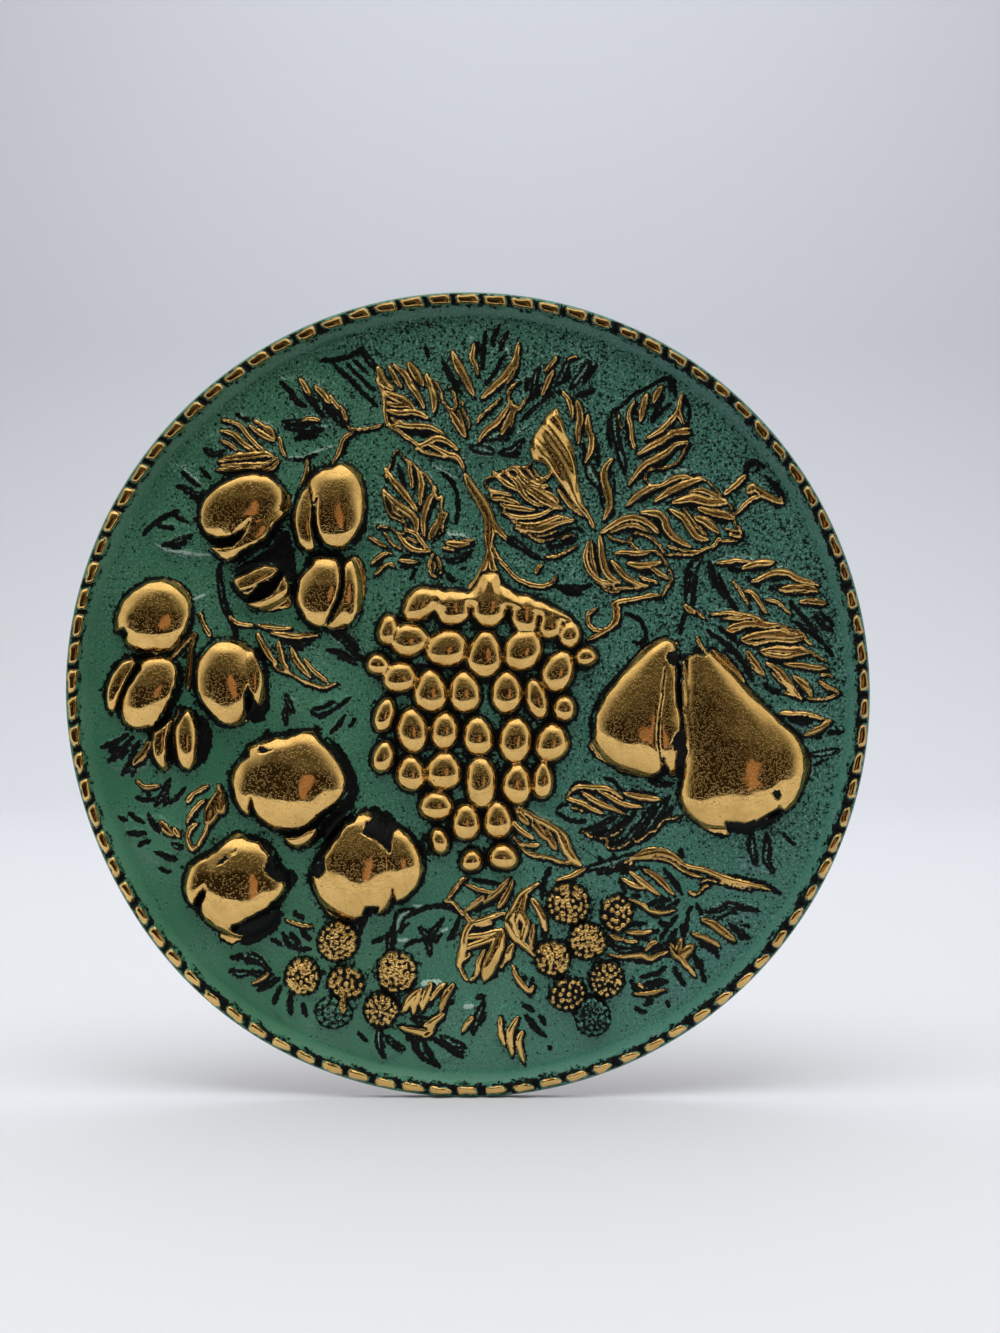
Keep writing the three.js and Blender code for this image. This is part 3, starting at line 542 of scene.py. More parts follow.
# %% Stroke tables
STROKES = """
# Vine leaf at the top
g 1 -23.2,81.6 -22.8,79 -22,77.4 -21,74 -20.6,70.6 -20,68.2 -17.6,66.6 -14.6,64.6 -12.6,63.2 -11.6,61.8
    -9,61.2 -6,60.2
G 1.9 -22.4,82 -21.6,79.6 -19.6,77.8 | G 1.3 -19.6,82.6 -18.6,80.6 -17.4,78.6
G 1.5 -17.8,83 -15.8,81 -14.6,78.4 -12.6,75 -11.6,73 | G 1.9 -14.4,83 -12.8,80.6 -11.8,78.8
G 1.5 -10.2,80 -9.4,77.6 -8.8,75.6 -8.6,73 -8.8,71.6 | G 1.8 -20.6,76 -17,74.6 -14.6,72.6
b 1.2 -19.4,73.6 -16,73 | G 1.4 -19.4,71.6 -17,71 -13.6,71.2 -11.2,70.2
b 1 -18.6,69.6 -16.8,68.8
G 1.3 -18,68 -14,67.8 -9.6,67.6 -7,66.4 | G 1.3 -12.4,62.6 -10,64 -7.6,65 -5,64 -3.2,62.2
G 1.2 -8.6,63 -5.6,61.2 -3,60 -1.4,58.4 -1,57 | k 0.6 -15,66.2 -12,65.6 -9,66.2
g 0.7 -9.6,80 -8,78.8 -7,76.6 -6.4,74.4 -5,72.6 -4,72.2 -3,73 -3.2,74.6 -3.6,76.2 -5,78
b 1.5 -3.8,71 -2.6,68.6 -1.2,66 | g 0.7 -4.8,72 -3.6,69 -2,66.4
g 0.7 -2.4,72.4 -1.4,69.4 -0.6,66
g 0.7 -2.4,75 -1.4,73.6 -0.8,71.4 0.2,69.4 0.2,67
G 1.8 -3.6,86 -2.4,83.2 -1,81 0,79 1.2,76.4
d 1.2 -5.8,83.6 -4.6,81.4 -2.8,78.6 | k 0.6 -4.4,80.6 -3,77.6 -1,75.4
G 1.2 1.4,88 1.2,85 2,83.4 2.6,81.6 | w 0.6 0.6,90.8 1.6,89.4 | w 0.6 4.2,93.8 4.6,92
w 0.6 6.4,93.4 7.4,92 | w 0.6 9.8,91.8 9,90 | w 0.6 9.2,88.2 10.6,86.4 | w 0.6 10.6,86 11.6,85
d 1 7.4,92.2 6.6,89.2 | k 0.8 4.4,92 4,86 3.8,82 | d 0.9 9.8,90.8 8.6,88 | k 0.6 2.6,90 2.8,86
G 1.7 12.6,88 12.2,84.8 11,82.6 9.4,80.4 6.8,78 4.4,75.8 | b 1 12.6,84.4 11.8,81.6 10.4,79.4
k 0.7 8.4,83.4 6,80 4.4,78.4 | k 0.6 10,86 8,84
g 0.8 8.4,75.2 6.6,73.4 4.6,71.8 3,70 2.4,68.4
g 0.8 13.4,79.4 11.4,78 10.2,76.4 10.4,74.6 11.4,73 12.6,72.2 13.8,73 14.6,74.6 15.4,75.6
G 1.3 10.6,73.4 9.2,71.4 7.6,69 5,66.6 3.4,64.6 | b 1.1 11,71.4 9.8,68.4 8.6,66
b 0.9 12.2,72 11.4,69
d 2.4 11,69.4 8.4,66.4 5.4,64.8 | d 2 1.6,62.2 3.6,62 5.8,61.4
d 1.6 9,61.2 11.4,61.8 13.4,63.8
d 1.4 17.8,82 17,79 16.2,75.6 | w 0.6 17.2,82.2 18,81.6 | k 0.7 15.4,80 14.8,76.6
G 1.1 22.2,85 20.8,83.4 19.8,82.2 | b 1.2 21.4,81.6 20.4,79.6 19.2,76.8
g 0.7 24.8,84.4 26.6,85.2 28,85.5
d 1.5 25.2,84 24,80.8 22.8,79 | d 1.7 30.6,83.4 28.4,80.4 26.6,78.4 | d 1 32.2,82.4 30.2,79.6
n 0.8 27,82.6 29,83.8 31.8,84.6 | d 1.1 28.4,76 31,76.8 | k 0.8 -10.8,88.4 -10,85.2
n 0.8 16.6,84 20,85.4 24,86.2 28,86 31.6,85 | n 0.8 4.4,94 8,94 11,91 13,88.4
# Small vine leaf left of the bunch
g 0.6 -17.6,62.4 -18.6,61 -19.2,58.8 -20,57 -20.6,56.2 -20.6,54
g 0.6 -20.4,52.6 -21.4,51 -21,49 -20.4,46.8 -19.6,45.2 -18,44.3 -16.6,43.8 -15.7,42.6 -15.6,41.4
    -16.4,40.6 -17.6,40.8 -19.2,41.9
G 1.5 -20.4,56.2 -18.8,54 -16.8,51.8 -15,49.6 -13.6,47.4
G 1.9 -20.6,50.8 -18.6,48.8 -16,46.8 -14,45 -13,43.2 -13,41.4
g 0.6 -19.8,46 -18.6,46 -17,45.2 -16.2,44.4 | b 0.9 -18.8,47 -17.4,45.6
d 0.8 -17.2,57 -16.6,55 -16.2,53.2
b 1.1 -14.4,58.2 -14.4,56 -14.2,53.4 | g 0.7 -14.2,58.2 -14,56.4
g 0.7 -17.4,61.8 -16.2,60 -14.8,58.8 -13.6,58.4 -12.4,56.6 -11,56 -10,54.4 -9.2,53.2 -8.2,52.4 -8.4,51
    -7.4,49.6 -6.6,50.2 -6.8,48.4 -6.8,46.8 -6.2,46 -5.4,45.8 -5.8,44.4 -6.4,43 -6.4,41.2 -8,40
    -9.2,38.8
w 0.6 -13.8,58.4 -12.4,56.6 -11.2,56 | G 1.3 -12.2,56 -11.8,53.6 -12,50.6 -12,48.6
G 1.4 -8.8,52.4 -8.6,51 -9.6,49.4 -10.6,46.8 -11.2,44 -11,40.8
g 0.7 -6.8,47 -7.6,44 -9,41.6 -9.6,39
b 1 -7,44.4 -7.8,41.8 -8.4,40.4 | G 1.2 -17.2,40.2 -16,38.4 -14.4,37 -12.4,36.4 -10.4,36.4
G 1 -15.2,41.6 -13,40.4 -11.4,38.2 -10.2,36.8 | g 0.8 -15.6,39.6 -14,39 -12.8,38.2
g 0.7 -21.6,41.2 -20.2,39.6 -19,38.2 -17.8,37.4 -16.6,36.8
w 0.6 -19.6,42.2 -18.6,41.4 -17.4,41
g 0.7 -23,42.2 -21,42.5 -19.8,42.2 | b 0.9 -24.4,39.6 -22.6,38.6 -21.2,38
G 0.9 -24,33.6 -22.6,35 -21,36 -19.8,35.8 | d 1.2 -22.6,34 -21.6,32.6
g 0.8 -24,30.2 -22.6,31.2 -21,32.8 -19.6,33 -18.6,32.2
b 1 -17,34 -15,33.6 -13.2,33.4 | k 0.7 -17.2,34.8 -14,35.4 | k 0.6 -17,32 -13.6,32.4
k 0.7 -12.6,32 -14.4,28.8
G 0.8 -9.2,34.8 -9.8,32.6 -9,30.2 -8.2,29.8 | g 0.7 -8,35 -7,33 -6.6,31.4 -7.4,30.6
b 0.8 -8.4,33.4 -8.2,31.8
w 0.7 -5,41.4 -4.4,40.3 -2,40.6 0.4,39.8 2.2,39 | g 0.6 -4.6,39.4 -3,39 -1,39.2 2,39
b 1.4 -4.8,38.2 -3,38 -0.6,38.2 | G 0.8 -5.4,37 -3.4,36.8 | k 0.6 -1,37.4 2.4,38.2
d 1.2 -4.6,34 -2,34 0.4,35.8 | d 1 -5,30.6 -3.6,29.4
w 0.6 -9.6,58.8 -6.6,57 -4.4,55.6 -2,54.6 | k 0.7 -7,56.6 -4,54.2 -2.8,51 -2.4,47 -3.2,43
# Big vine leaf right of the bunch
k 0.7 13.6,69.2 16,71.6 18.4,74 20.2,75.8 22.6,76.8 25,76 27.4,74 29.4,71.8 31,70.6
n 0.9 15.6,70.4 18,72.8 20.4,75 22.6,75.8 25,75 27,73 | w 0.6 12,66 15.2,68.6
G 1.1 24.6,76 26,73.6 26.4,70.6 | b 1.5 27.8,73.6 28.6,70 28,66.4 28,64.4
g 0.6 27.4,73.8 28,70 27.2,66 | G 1.4 30.4,70 30.8,67 31.4,64.6 31,61.4 30.2,59.4
k 0.6 29.4,64 29.4,60 30,56.4 | k 0.7 32.6,63.4 33,60 33.4,57.6 | d 2.6 31,57 32.8,53.6
G 1.7 36,58.8 34.6,56.4 34.8,53 35.8,50 36,47.6 35,45.2 | k 0.6 33.2,54 33.6,50 34.6,47
g 0.7 33.6,56.2 34.8,56.8 36,58.8 | k 0.5 37.2,54.4 37.4,50
g 0.7 4.2,54.2 6.8,55.4 9.4,56.4 11.6,57.8 13.6,57.6 15.2,57.8 16.2,58.8
g 0.7 16.4,57.8 17.4,56.2 18.4,55 19.6,54.8 20.4,55.8 20.8,57 20.4,58.4 19.2,59.2
G 1.2 7.2,55.8 9,53.8 11.6,52.2 | G 1.3 9.8,56.2 12,53.8 13.6,51.2 15,49.6 18,48.2
G 1.2 11.6,57.6 13.2,56 15,54.4 17,53.4 19.4,52.8 | g 0.8 13.6,57.4 15.2,56.8 17,54.8 19.8,53.6
G 1.2 12.4,55 14.4,52.4 17,50.8 19.6,48.8 22,47.4 23.8,47.2
G 1.1 15,53.2 18,51.4 20.4,49.4 22.6,47.8 | g 0.8 17.2,53.4 19.4,51.6 21.6,50 23.2,48.4
g 0.7 4.2,54.2 5,52.8 6.2,51 6.4,49.4 8,48.4 9,47.2 9.4,46 10.4,45 11.8,44.2 12.4,43 12.8,42 13.8,40.8
    15.8,40.2 16.8,39.2 19.6,38.8 22,39.4
G 1 6.4,51.2 8.4,50.8 10.4,50.4 | b 1.1 6.8,49.4 10,49 12.6,48.2
b 1.2 8.8,47.6 12,47.2 16.6,46.8
w 0.6 13,47.2 16.8,47 | G 1.1 9.6,45.6 13.6,44.8 18.4,45.6 21,46.8
G 1.2 12.8,43.4 15.6,43 18.6,43.4 21,44.2 23,44.8 25,44.6
G 1.1 12.8,42 15.4,41.6 18.2,41.6 21,42.4 23.4,43.4 26,44
b 0.9 14,42.6 18,42.4 22,43.4 | g 0.7 16.4,40.4 19,40.2 21.2,40.8 22.8,41.4
k 0.7 22,39.4 24,40.8 26,41.8 28,41.8 29.4,41 | g 0.5 23.4,39 25.4,40 27.4,40.4
k 0.7 20,37.2 22,37.2 24.8,38.2 27.4,38.8 | g 0.8 19.6,34.6 22,34.9 24,35.6 26,36.8 28,37.8
G 1.1 25.4,53.2 28,49 31.6,42.8 | G 1 23,51.4 26,48 28.6,45.4
d 1.8 37,70.8 37.4,66 38.6,61 39.6,56.8 | g 0.5 38.2,71.2 38.8,67 | k 0.6 36,70.4 35.6,66 36,62
G 1 41.8,73.6 40.8,71 41.2,68 41.6,65 42.4,62.4 | k 0.6 40,69 40.4,65 41.2,62
G 1.5 45.2,75.4 44.4,72.6 44,70.2 | k 0.5 42.8,74 42.8,70.6 | b 1.4 48.8,77.4 47.6,74.8
d 1.2 51.6,79.4 52.6,76.6 | k 0.7 49.6,75.4 48,72 46.6,69.6 | k 0.6 51.8,74 49,71.4 46.4,68.8
G 1 54.2,75 53.4,72 54.4,69.2 | G 1.2 53,71.6 51.4,69.4 48.8,67 46,65
G 1.4 55.4,67.2 52.6,66.4 49,64.2 46,62.4 44,61 | b 1.2 51.6,66.8 55.6,66.4
G 1.4 55,63.6 52.6,63 50,61 47,59.4 44.4,57.6 42.6,55.6 41.4,54
g 0.6 55.8,63.4 54.6,60.8 52.4,58.4 49,57.4 46.6,57 45.2,55.8 44.8,54 46,53 48.2,53
k 0.6 36,70.4 37.6,71.8 39.6,73.8 42,76.2 44,77 46.6,78.2 49,79.8 51,80.4 52.8,79
n 0.8 37,72.4 40,75 44,78 48,80 | k 0.6 54.8,76 56,72 55.8,68 56,64
w 0.7 49.4,54.4 50.8,55.8 53,56.8 55,56.8 57,55.8
g 0.6 57,55.8 59.6,54.6 61.4,53.6 63,51.6 64.6,49.6 66.6,47.6 67.6,45.4 68,43 69.4,41.4 69,40
G 1.2 49.2,53.2 52,54.6 54.6,55.2 56.6,54.8 | G 1.5 40.8,48.6 43,50.4 46,52 48.4,53
G 1.7 48,49.2 50,50.8 53,52.4 56,53.6 58.4,54.2 | G 1.3 57,51.2 59.4,51.6 61.6,50.6 64,49
G 2.1 52.8,48.6 55,49.4 58,49.4 61,48.6 64.6,48.4 | b 1.7 59.6,46.8 62.4,46 65,45.6 67,45
G 1.7 44.8,46 47.8,45.8 49.6,44.6 50.2,42.4 52,39.8 54.4,38.2 56,37.6
G 1.6 52,46.2 54.4,45 56,42.6 58,40 60,39.4 | G 2 58.6,44.6 60.6,43.6 62.6,41.6
g 0.7 64.8,42 67,41.4 69.4,41 | g 0.8 65.8,40.6 69.4,39.6 | b 1 55,46.4 57.8,43 59.6,41
g 0.7 69.4,39 65,38.6 63.4,39.2 62.4,37.6 60.4,37.2 58,36.2 55.6,35.2 52,35.2 50,35.4
g 0.7 50.4,37.6 52.4,36.6 55,36.2 58,36.6 | k 0.6 47.4,44.4 49,41.4 51.6,38.4
G 1.5 34.6,41.4 37,43 39.4,44.2 42,44.6 44.6,44 47,42.4 48,41
g 0.6 34.8,41 36.4,39.6 38.6,38.6 41,38.4
b 1 37,41.4 40,42.6 43,42.6 45.6,41.4 | g 0.7 41.4,40.8 43.4,41 46.4,39.8 48.4,37.8 50.2,35.4
g 0.7 41.4,40.6 41.2,38.6 42.4,37.2 44,36.4 46,36.2 | b 1.1 38.4,35.8 42,35.6 45,36
G 1.6 41.6,33 44.6,32.8 47.8,33.4
g 0.6 45,36.8 48.2,36 49.6,34 50.8,32.2 51.8,30 51.4,28.4 50,26.6 49,24
g 0.9 43.4,30 46,29 48.4,28.2 | b 1.1 47.8,31.4 50.4,29.8
G 1.2 30.4,37.6 29.8,34.6 30.4,32 32,30 34,28.6 37,28.2 | b 1 31.4,37.8 31.6,34 32.6,31
G 1.5 33.6,39 34,35 34.6,32 35.8,30 38,28.6
G 1.5 37,33.2 38.6,31 40.4,29.4 42.6,28.2 44,27.8
g 0.7 30.2,31.6 32.4,29 34,27.8 35.6,27.2 38,26.8 40.2,26.6 44,27.4 47.4,28.4
g 0.6 34,27.4 35.4,26.4 37.6,25.8 39,26.4 | g 0.7 42,24.2 46,24.8 49.6,25.4
d 1.4 56.4,32.4 56,27.6 | d 1.1 62,31.4 62.4,28
# Cut branch ends, right and top left
g 1.4 64.8,50.6 70.4,55.6 | G 2 71.2,51.2 71.8,52.6 | d 1.1 70.4,56 70.8,58 72.4,58.8 74.4,58
G 1.6 72,52.4 76,50 78.8,48.8 | g 1.1 68,45.6 71.2,48.8 74,50 76,49.6 78.4,48.8 79.6,50.4
d 1.1 76,54.4 78.4,51.6 79.6,49.2 | k 0.9 -37.6,84.4 -32,84.8 -28.6,86.4 -26.6,87.8
k 0.8 -34,83.4 -30,79.8 -26,75.8 -22.6,72.6 | k 0.7 -31,83.8 -27,79.8 -23.6,76.4
k 0.7 -29,85 -25.6,81.4 | w 0.6 -27.8,84.6 -26.6,83
d 1.3 -26.4,86.8 -23.2,82.8 | n 1 -38,88 -28.4,90.2 -26,88
# Two plum leaves and their twig
G 1.1 -61.6,69.4 -59.4,69 -57.4,68 -55.6,65.8 -53.6,63.4 -51.6,61.4
G 1.3 -61.6,66.6 -59.6,66.2 -58,65 -56.4,63.4 -54.4,62 | b 0.9 -62,64 -60.4,63.4 -58.4,62
d 1.3 -66,62 -64.4,60.8 -62.4,61.2 | G 1.5 -62,59.4 -58.6,60.2 -54.6,60.6 -51.4,60.8 -49.8,60.4
G 1.1 -61.4,58.2 -57,58.4 -53.6,58.4 -51,58.6 -49,59.6 | b 1.1 -62.6,57 -58,57.4 -54,57.2
b 1 -52.4,57.4 -50,57.2 -48.4,58.8 | k 0.7 -60,56.4 -56,56.4 -52,56.2
w 0.6 -59,72 -57,70.8 -55,70 -52.8,69.6 -50.6,68.4 -49.6,67 -48.6,65.6
w 0.6 -58.4,71 -56.8,69.8 -54.6,69.2
k 0.6 -59.4,71.6 -57,70.2 -54.6,69.6 | G 0.9 -53.6,69.6 -52,68.4 -50.6,66.8 -50.4,65.6
G 1.3 -54.4,67.8 -52.6,66.4 -50.8,65 -49.4,64.2 | G 1 -51.4,68 -50,67.2 -49.2,65.4
g 1 -48,65.4 -47.2,63.6 -46.6,61.4 -45.8,60.2
w 0.7 -45.8,60.2 -44,60.2 -41.4,60 -39.6,60.8 -36.6,62.4 -33.6,63.2
k 0.7 -45,59.6 -41.4,59.4 -38,61 | w 0.6 -47.4,80.6 -46.2,80
k 0.9 -47.6,79.4 -45.4,77.2 -43.4,75.2
d 1.1 -44,75.2 -41.6,73.4 | G 1.2 -42.4,79.6 -41.4,78.2 -40.2,76.4
d 1.2 -40.4,75.8 -38.6,73 -37,71
G 1.4 -38.2,77.4 -36.8,76 -35.4,74.2 | d 1.1 -36,73 -33.6,70
G 1.1 -34.6,75.2 -33.4,73.4 -32.6,72.2
b 1 -32,72.4 -31,70.6 -30.6,69.2 | d 1.3 -33.4,71 -31.4,68.4
g 0.7 -30.6,68.2 -29.6,67 -28,66.8 -26,67 -21.2,68.6 | G 0.9 -41.2,69.4 -39.4,69.6 -37.8,69.2
d 1.2 -46,69 -43,69 -40,68.6 | d 1.5 -45.6,67.4 -42,67.2 -37.6,66.9
w 0.7 -37.6,67.8 -35.4,67.7
k 0.8 -44,65 -41,64.8 -38,65.4 | b 1 -29.4,65.8 -31.4,64.6 -32.4,62 -33.8,59.4
b 0.9 -40.6,58.6 -40.8,56 -42,53.4 | g 0.7 -40.2,58 -40.4,56
# Leaf left of the top plum, and the plums' twigs
w 0.6 -72,57.4 -70,55.8 -67.4,53.6 | k 0.8 -72.4,56.6 -68,53 | d 1.2 -72.4,52.4 -66.4,50.8
n 0.9 -69,58.6 -66.4,55.6 | k 0.8 -67.6,57.6 -65,54.6
k 0.9 -82,40 -79.2,43.2 -76.4,45.2 -72.8,46.8 | w 0.8 -79.2,38.4 -75.2,36.4 -70,35.6 -64.8,35.4
k 0.8 -75.2,46 -70.4,43.6 | k 0.8 -78.4,42.8 -74,42 | d 1.3 -76,38 -70.4,40
d 1.5 -62.8,32 -62.8,28 -61.6,22.8 -59.6,18.8 -58.4,14.8 | w 0.9 -70,24 -66.4,25.6
g 1.1 -60.4,20 -58,18 -54,17.2 | g 1.2 -68,20.8 -67.2,18 -64.8,14.4
b 1.3 -69.2,14 -70.4,10 -70.8,2.4 | b 1.1 -69.6,14.8 -74.4,10
# Leaves between the plums and the bunch
G 1.2 -52,17.4 -45.6,16.8 | G 1.3 -48.8,15.4 -39.2,15.2 | d 1.4 -46,13.6 -40.8,13.2
G 1.5 -52.8,14.4 -48.8,8.8 | g 0.9 -50,9.6 -48,6.4 -44.8,5.2 -42,3.6 -38,2 -36,1.8 -32.8,3.2
G 1.3 -47.6,12.4 -45.2,6.4 | G 1.3 -44,10.8 -40.4,5.2 | G 1.1 -40.4,8 -36,3.6
d 1.2 -27,9 -34,15 | d 1.2 -28,12 -33,16.5 | d 1.1 -29,9 -34.6,11
# Pear stem and the pear's two leaves
d 2.2 58.6,34 56.6,30.4 56,26 55.8,22.8 | G 1.4 55.2,22.4 56.6,21.2
g 0.8 57.2,21.8 58.6,20.4 60,19.2
k 0.7 55.2,21 54.4,18 53.6,15 | G 0.9 58.2,14 59.8,11.4
w 0.7 60,19.2 62,19.7 64.6,19.9 67.4,20.4 | G 1 62,20.6 65,20.8 67.4,20.4 70.4,20 73,19.6
G 1.1 65.4,19.2 68,19.1 71,19.6 73.4,19 75,18 77,18 79.6,17.2
b 1.5 66.4,16.8 69,17.6 72,17.8 76.4,17.4 | g 0.8 65.4,16 67,16 69.6,16.9 72,17.3
b 1.7 70,14.4 73,15 76,15.4 80,15.2 83.8,14.8
g 0.9 76,16.2 80,16.3 82,16.2 84.6,15.4 85.4,13.8 87.2,12.4
g 1 68.6,14.3 71,13.3 73,13 76,13.8 79,14 82,13.7 84.8,13.7
b 1.3 75,11.3 78,11.5 84,11.3 86.4,10.7
g 0.7 76,12.2 80,12.2 84,11.9 86.6,11 88.4,9.8 91.2,8.2
G 1.2 74.4,11 76.4,10.2 80,10 83.6,10.5 86.4,10.7 | b 1.3 81,8 84,7.5 87,6.9 90,6.8
g 0.8 89.2,4.8 90.6,5.2 92.6,4.4 | b 1.2 71.4,10.4 73,8 74.6,5.4 | g 0.8 70.8,10 72.6,7 74.4,5
G 1.5 76.6,7.4 78.8,6 80.8,3.6 82.6,1 84,-0.6
g 0.8 76.6,6.2 78.6,4.1 80.6,2.1 81.6,0.8 83,-0.4 84.8,-0.9
b 1.4 83.2,4.2 85,2.5 86.8,0.4 | g 0.7 84.2,4.2 86,2.7 87.2,0.8 | b 1 89.6,3 91.6,1.6 93.6,0.8
d 1.1 86.4,1.4 84.6,0.2 | g 0.7 80,0.6 82,0 84.4,-0.8 | g 0.7 85.6,-0.9 88,-1 91,-0.8 94,0.3
k 0.9 75,2.6 77,1.2 79.4,0.2 | d 1 61.6,15.6 64.6,13.4 67.6,11 70,8 72,4.4
k 0.7 82,18.4 86,16 90,13 92.6,9.6 | k 0.7 63.4,17.4 66,15 69,12.6
G 1 63.8,33.4 66,33.4 68,33.8 70.2,33.7 | G 1.8 70.4,32.2 72.6,33.1 74.6,33.6 76.8,33.6
w 0.6 78,32.4 81.8,32.4 | G 1.5 72.4,28.8 74,29.4 75.6,30.4 78,30.9 81,30.6 83.8,29.2 87.8,28.2
n 0.7 81,31.8 84,30.6 87.6,29 | b 1.7 80,26.6 83,27 86,27.2 87.8,26.6
g 0.8 79.4,26 82,25.7 85,26 87.6,26.7
b 1.5 85.2,23.6 87.6,23.7 90,23.4 | g 0.6 86,24.4 88.8,24.5 | G 0.8 67.4,28 69,26 70.6,23.2
G 1.1 70,26.5 71.6,26 73,24.6 74.4,22.4 75.6,21.2 | G 0.8 75.6,24.2 78,23.6 80,21.8 81.4,20.6
d 1.1 77.4,27 80,27.2 | d 1.5 61.6,32.4 62.2,29.4 | d 0.9 64,29.6 65.2,26 67,22.8 68.6,20.8
k 0.7 62.4,30 63.4,27 65.6,24 | d 1 82.4,22.6 84.6,20 86.4,17.6 87.8,16.2
d 1.2 88.2,19.4 90,17 91.8,16.2 | d 1 90,20.4 92,18.2 | k 0.7 66,31.8 70,31.2
k 0.7 70.6,29.8 74,27.4
# Stems and tendrils of the bunch
G 2.4 0,54.8 2,51 3.6,48.8 5.2,44.8 5.5,40 5.2,37 | G 1.5 5.2,37 4,31.6 0.4,26.8
G 1.5 5.4,37 6,34 7.6,28.4
g 1.1 6.2,38 8,34.4 11.2,30.8 14.8,28.4 18.4,27.6 21.6,28.4 22.8,30.4
g 0.9 17.6,30.4 18,32 19.2,32.8 | G 1.5 3.6,48.8 6.4,43.2 9.2,39.6
d 1.3 9.2,39.6 11.6,38.8 15.2,36 18,34.4
g 1.1 47.8,25.2 46,25.4 42,24 37.2,23.2 38,22 37.6,18.8 35.6,16.4 32.4,14.8 30,13.6
g 1 36.4,23.6 37.2,20.8 36.4,17.6 34,16 31.6,16.8 30.4,18.8 30.8,20.4 32.8,21.6
k 0.7 39.6,20.8 42.8,19.6 44.8,17.6 45.2,14.8 43.6,12.8 41.6,13.6 | d 1 22.8,27.6 30.4,27.6
# Small leaves at the left edge
d 1.2 -92,-13.2 -87.2,-10.8 | d 1.2 -90.4,-16.4 -85.6,-11.6 | d 1 -85.2,-15.6 -83.6,-12.8
b 1.8 -84,-16.8 -80.8,-12.4 | d 1 -87.2,-19.6 -85.6,-17.2 | d 1 -84.8,-19.6 -84,-16.8
b 1.2 -83.2,-22 -81.6,-23.2 -78.8,-23 | d 1.4 -78.4,-27.2 -76,-22.4 | d 1 -83.2,-26 -80,-26.4
d 1 -74.4,-26.8 -72.4,-24.4 | k 0.9 -86.4,-29.6 -82.2,-32.4 | d 0.8 -88.4,-31.2 -87.2,-31.6
d 1.1 -80.4,-31.2 -78.4,-34 | b 1.6 -77.2,-32.8 -75.2,-34.8 | g 1.2 -74.4,-33.6 -72.8,-36
d 1.4 -74,-38 -72.6,-38.6 | d 1.2 -85.6,-35.2 -82.6,-35.2 | k 0.8 -83.6,-38.4 -80.4,-37.2
d 1.2 -78,-40.4 -74.4,-41.6 | k 0.7 -78.4,-44 -75.2,-45.2
g 1.3 -65.6,-22.8 -69.2,-24.8 -71,-27.6 | g 1 -66.4,-26.4 -68.8,-28.8 -70.4,-30.8 -71.2,-32.8
g 1.2 -68.4,-32 -70.4,-34 -71,-36.4 -70,-38.8 -68.8,-38.4 -66.8,-35.2 -65.6,-32
b 1.6 -64,-25.6 -65.6,-29.2 -66,-32 -64.4,-31.2 -64.4,-27.6 -64,-25.6
b 1.4 -62.8,-23.6 -63.6,-26.8 -62.4,-29.6 -62,-26 -62.8,-23.6
# Sprigs above the peaches
d 1.4 -45.6,-1.2 -44.4,-3.6 | d 1.2 -46,-4.4 -46,-6.8
k 0.8 -40,-4 -38,-5.2 -34.8,-4.4 -31.6,-2 -30,-0.4 | k 0.7 -39,-3.4 -36.5,-3 -33.5,-1.6
d 0.9 -34,-8.8 -32,-6.4 | k 0.7 -30,-8.4 -28.4,-6
# Leaf below the bunch and leaf left of the pears
G 1.6 14,-28.8 16.8,-31.2 20.8,-33.2 23.6,-35.2 25.2,-37.2 26,-40 28,-42.4
g 1 11.2,-35.2 12.8,-37.2 14.4,-39.6 16.8,-40.8 20,-41.2 23.6,-42.4 27.6,-42.4
b 1.6 12.8,-29.2 14.8,-32 | G 1.3 12,-32.4 15.6,-35.6 | b 1.8 17.2,-32.8 19.2,-35.6
b 1.8 20.4,-35.2 22,-38.4 | g 1.1 12.4,-37.6 18,-38 | g 1.1 15.6,-40 20,-41.4
G 2.2 23.2,-34.8 26,-40.8 27.6,-42.4
G 1.1 25.4,-25.4 26.6,-24.2 28,-23.4 31,-23.5 34.5,-23.6 36.6,-24.4 38.6,-25.6
k 0.6 25.6,-25.4 26.4,-23.4 28,-22.4 30.6,-22.4 | w 0.6 31.2,-22.9 32,-22.2 34,-22.2
k 0.7 34.6,-21.4 37,-21.8 38,-23.2 40,-24.4 | w 0.6 38.2,-23.2 39.6,-23.3
G 1.4 40.4,-24.8 44,-25.8 47.6,-26.1 | G 1.2 34,-24.8 38.5,-27 43.3,-28.2
G 1.2 29.5,-25 34,-27.8 39,-29.6 | G 1.1 26,-26.5 29,-27.3 31.5,-28.8 33.6,-29.8
g 0.6 26.6,-28.6 28,-28.9 29.6,-29.4 | k 0.8 22.5,-28.8 24,-28 26,-27.6
k 0.7 22.5,-29.6 25,-31
k 0.8 24,-31.2 27,-32 30,-32 | k 0.6 41,-24 44.6,-24.8 48,-25 | d 1.2 47,-22 50.8,-22.4
g 0.6 28,-34.2 30,-34.8 31.2,-35.8 33,-36.2 35,-36.4 35.6,-37 35.2,-38.4 37,-38.8 39.5,-38.2 41.4,-36.8
g 0.6 41.6,-36 43,-37.2 44.6,-36.2 46.4,-34.6 47.6,-34.6 48.4,-33 49.4,-32 51,-31.4 52.6,-31.4
    54.2,-30.4
d 1.2 30,-34.2 33,-33.4 36.6,-31.6 | d 1.2 31,-35.6 36,-35 39.6,-32.4
g 0.7 36,-36 38.2,-34.8 39.4,-33.2
d 1.1 38.5,-33 41.6,-30.4 | d 1.3 37.6,-37.6 40.6,-36.4 43,-33.4 46.6,-28.6
d 1.6 44.2,-35.4 46,-33 47.6,-30 50.4,-26.4 | k 0.8 46.8,-31.4 47,-29.6
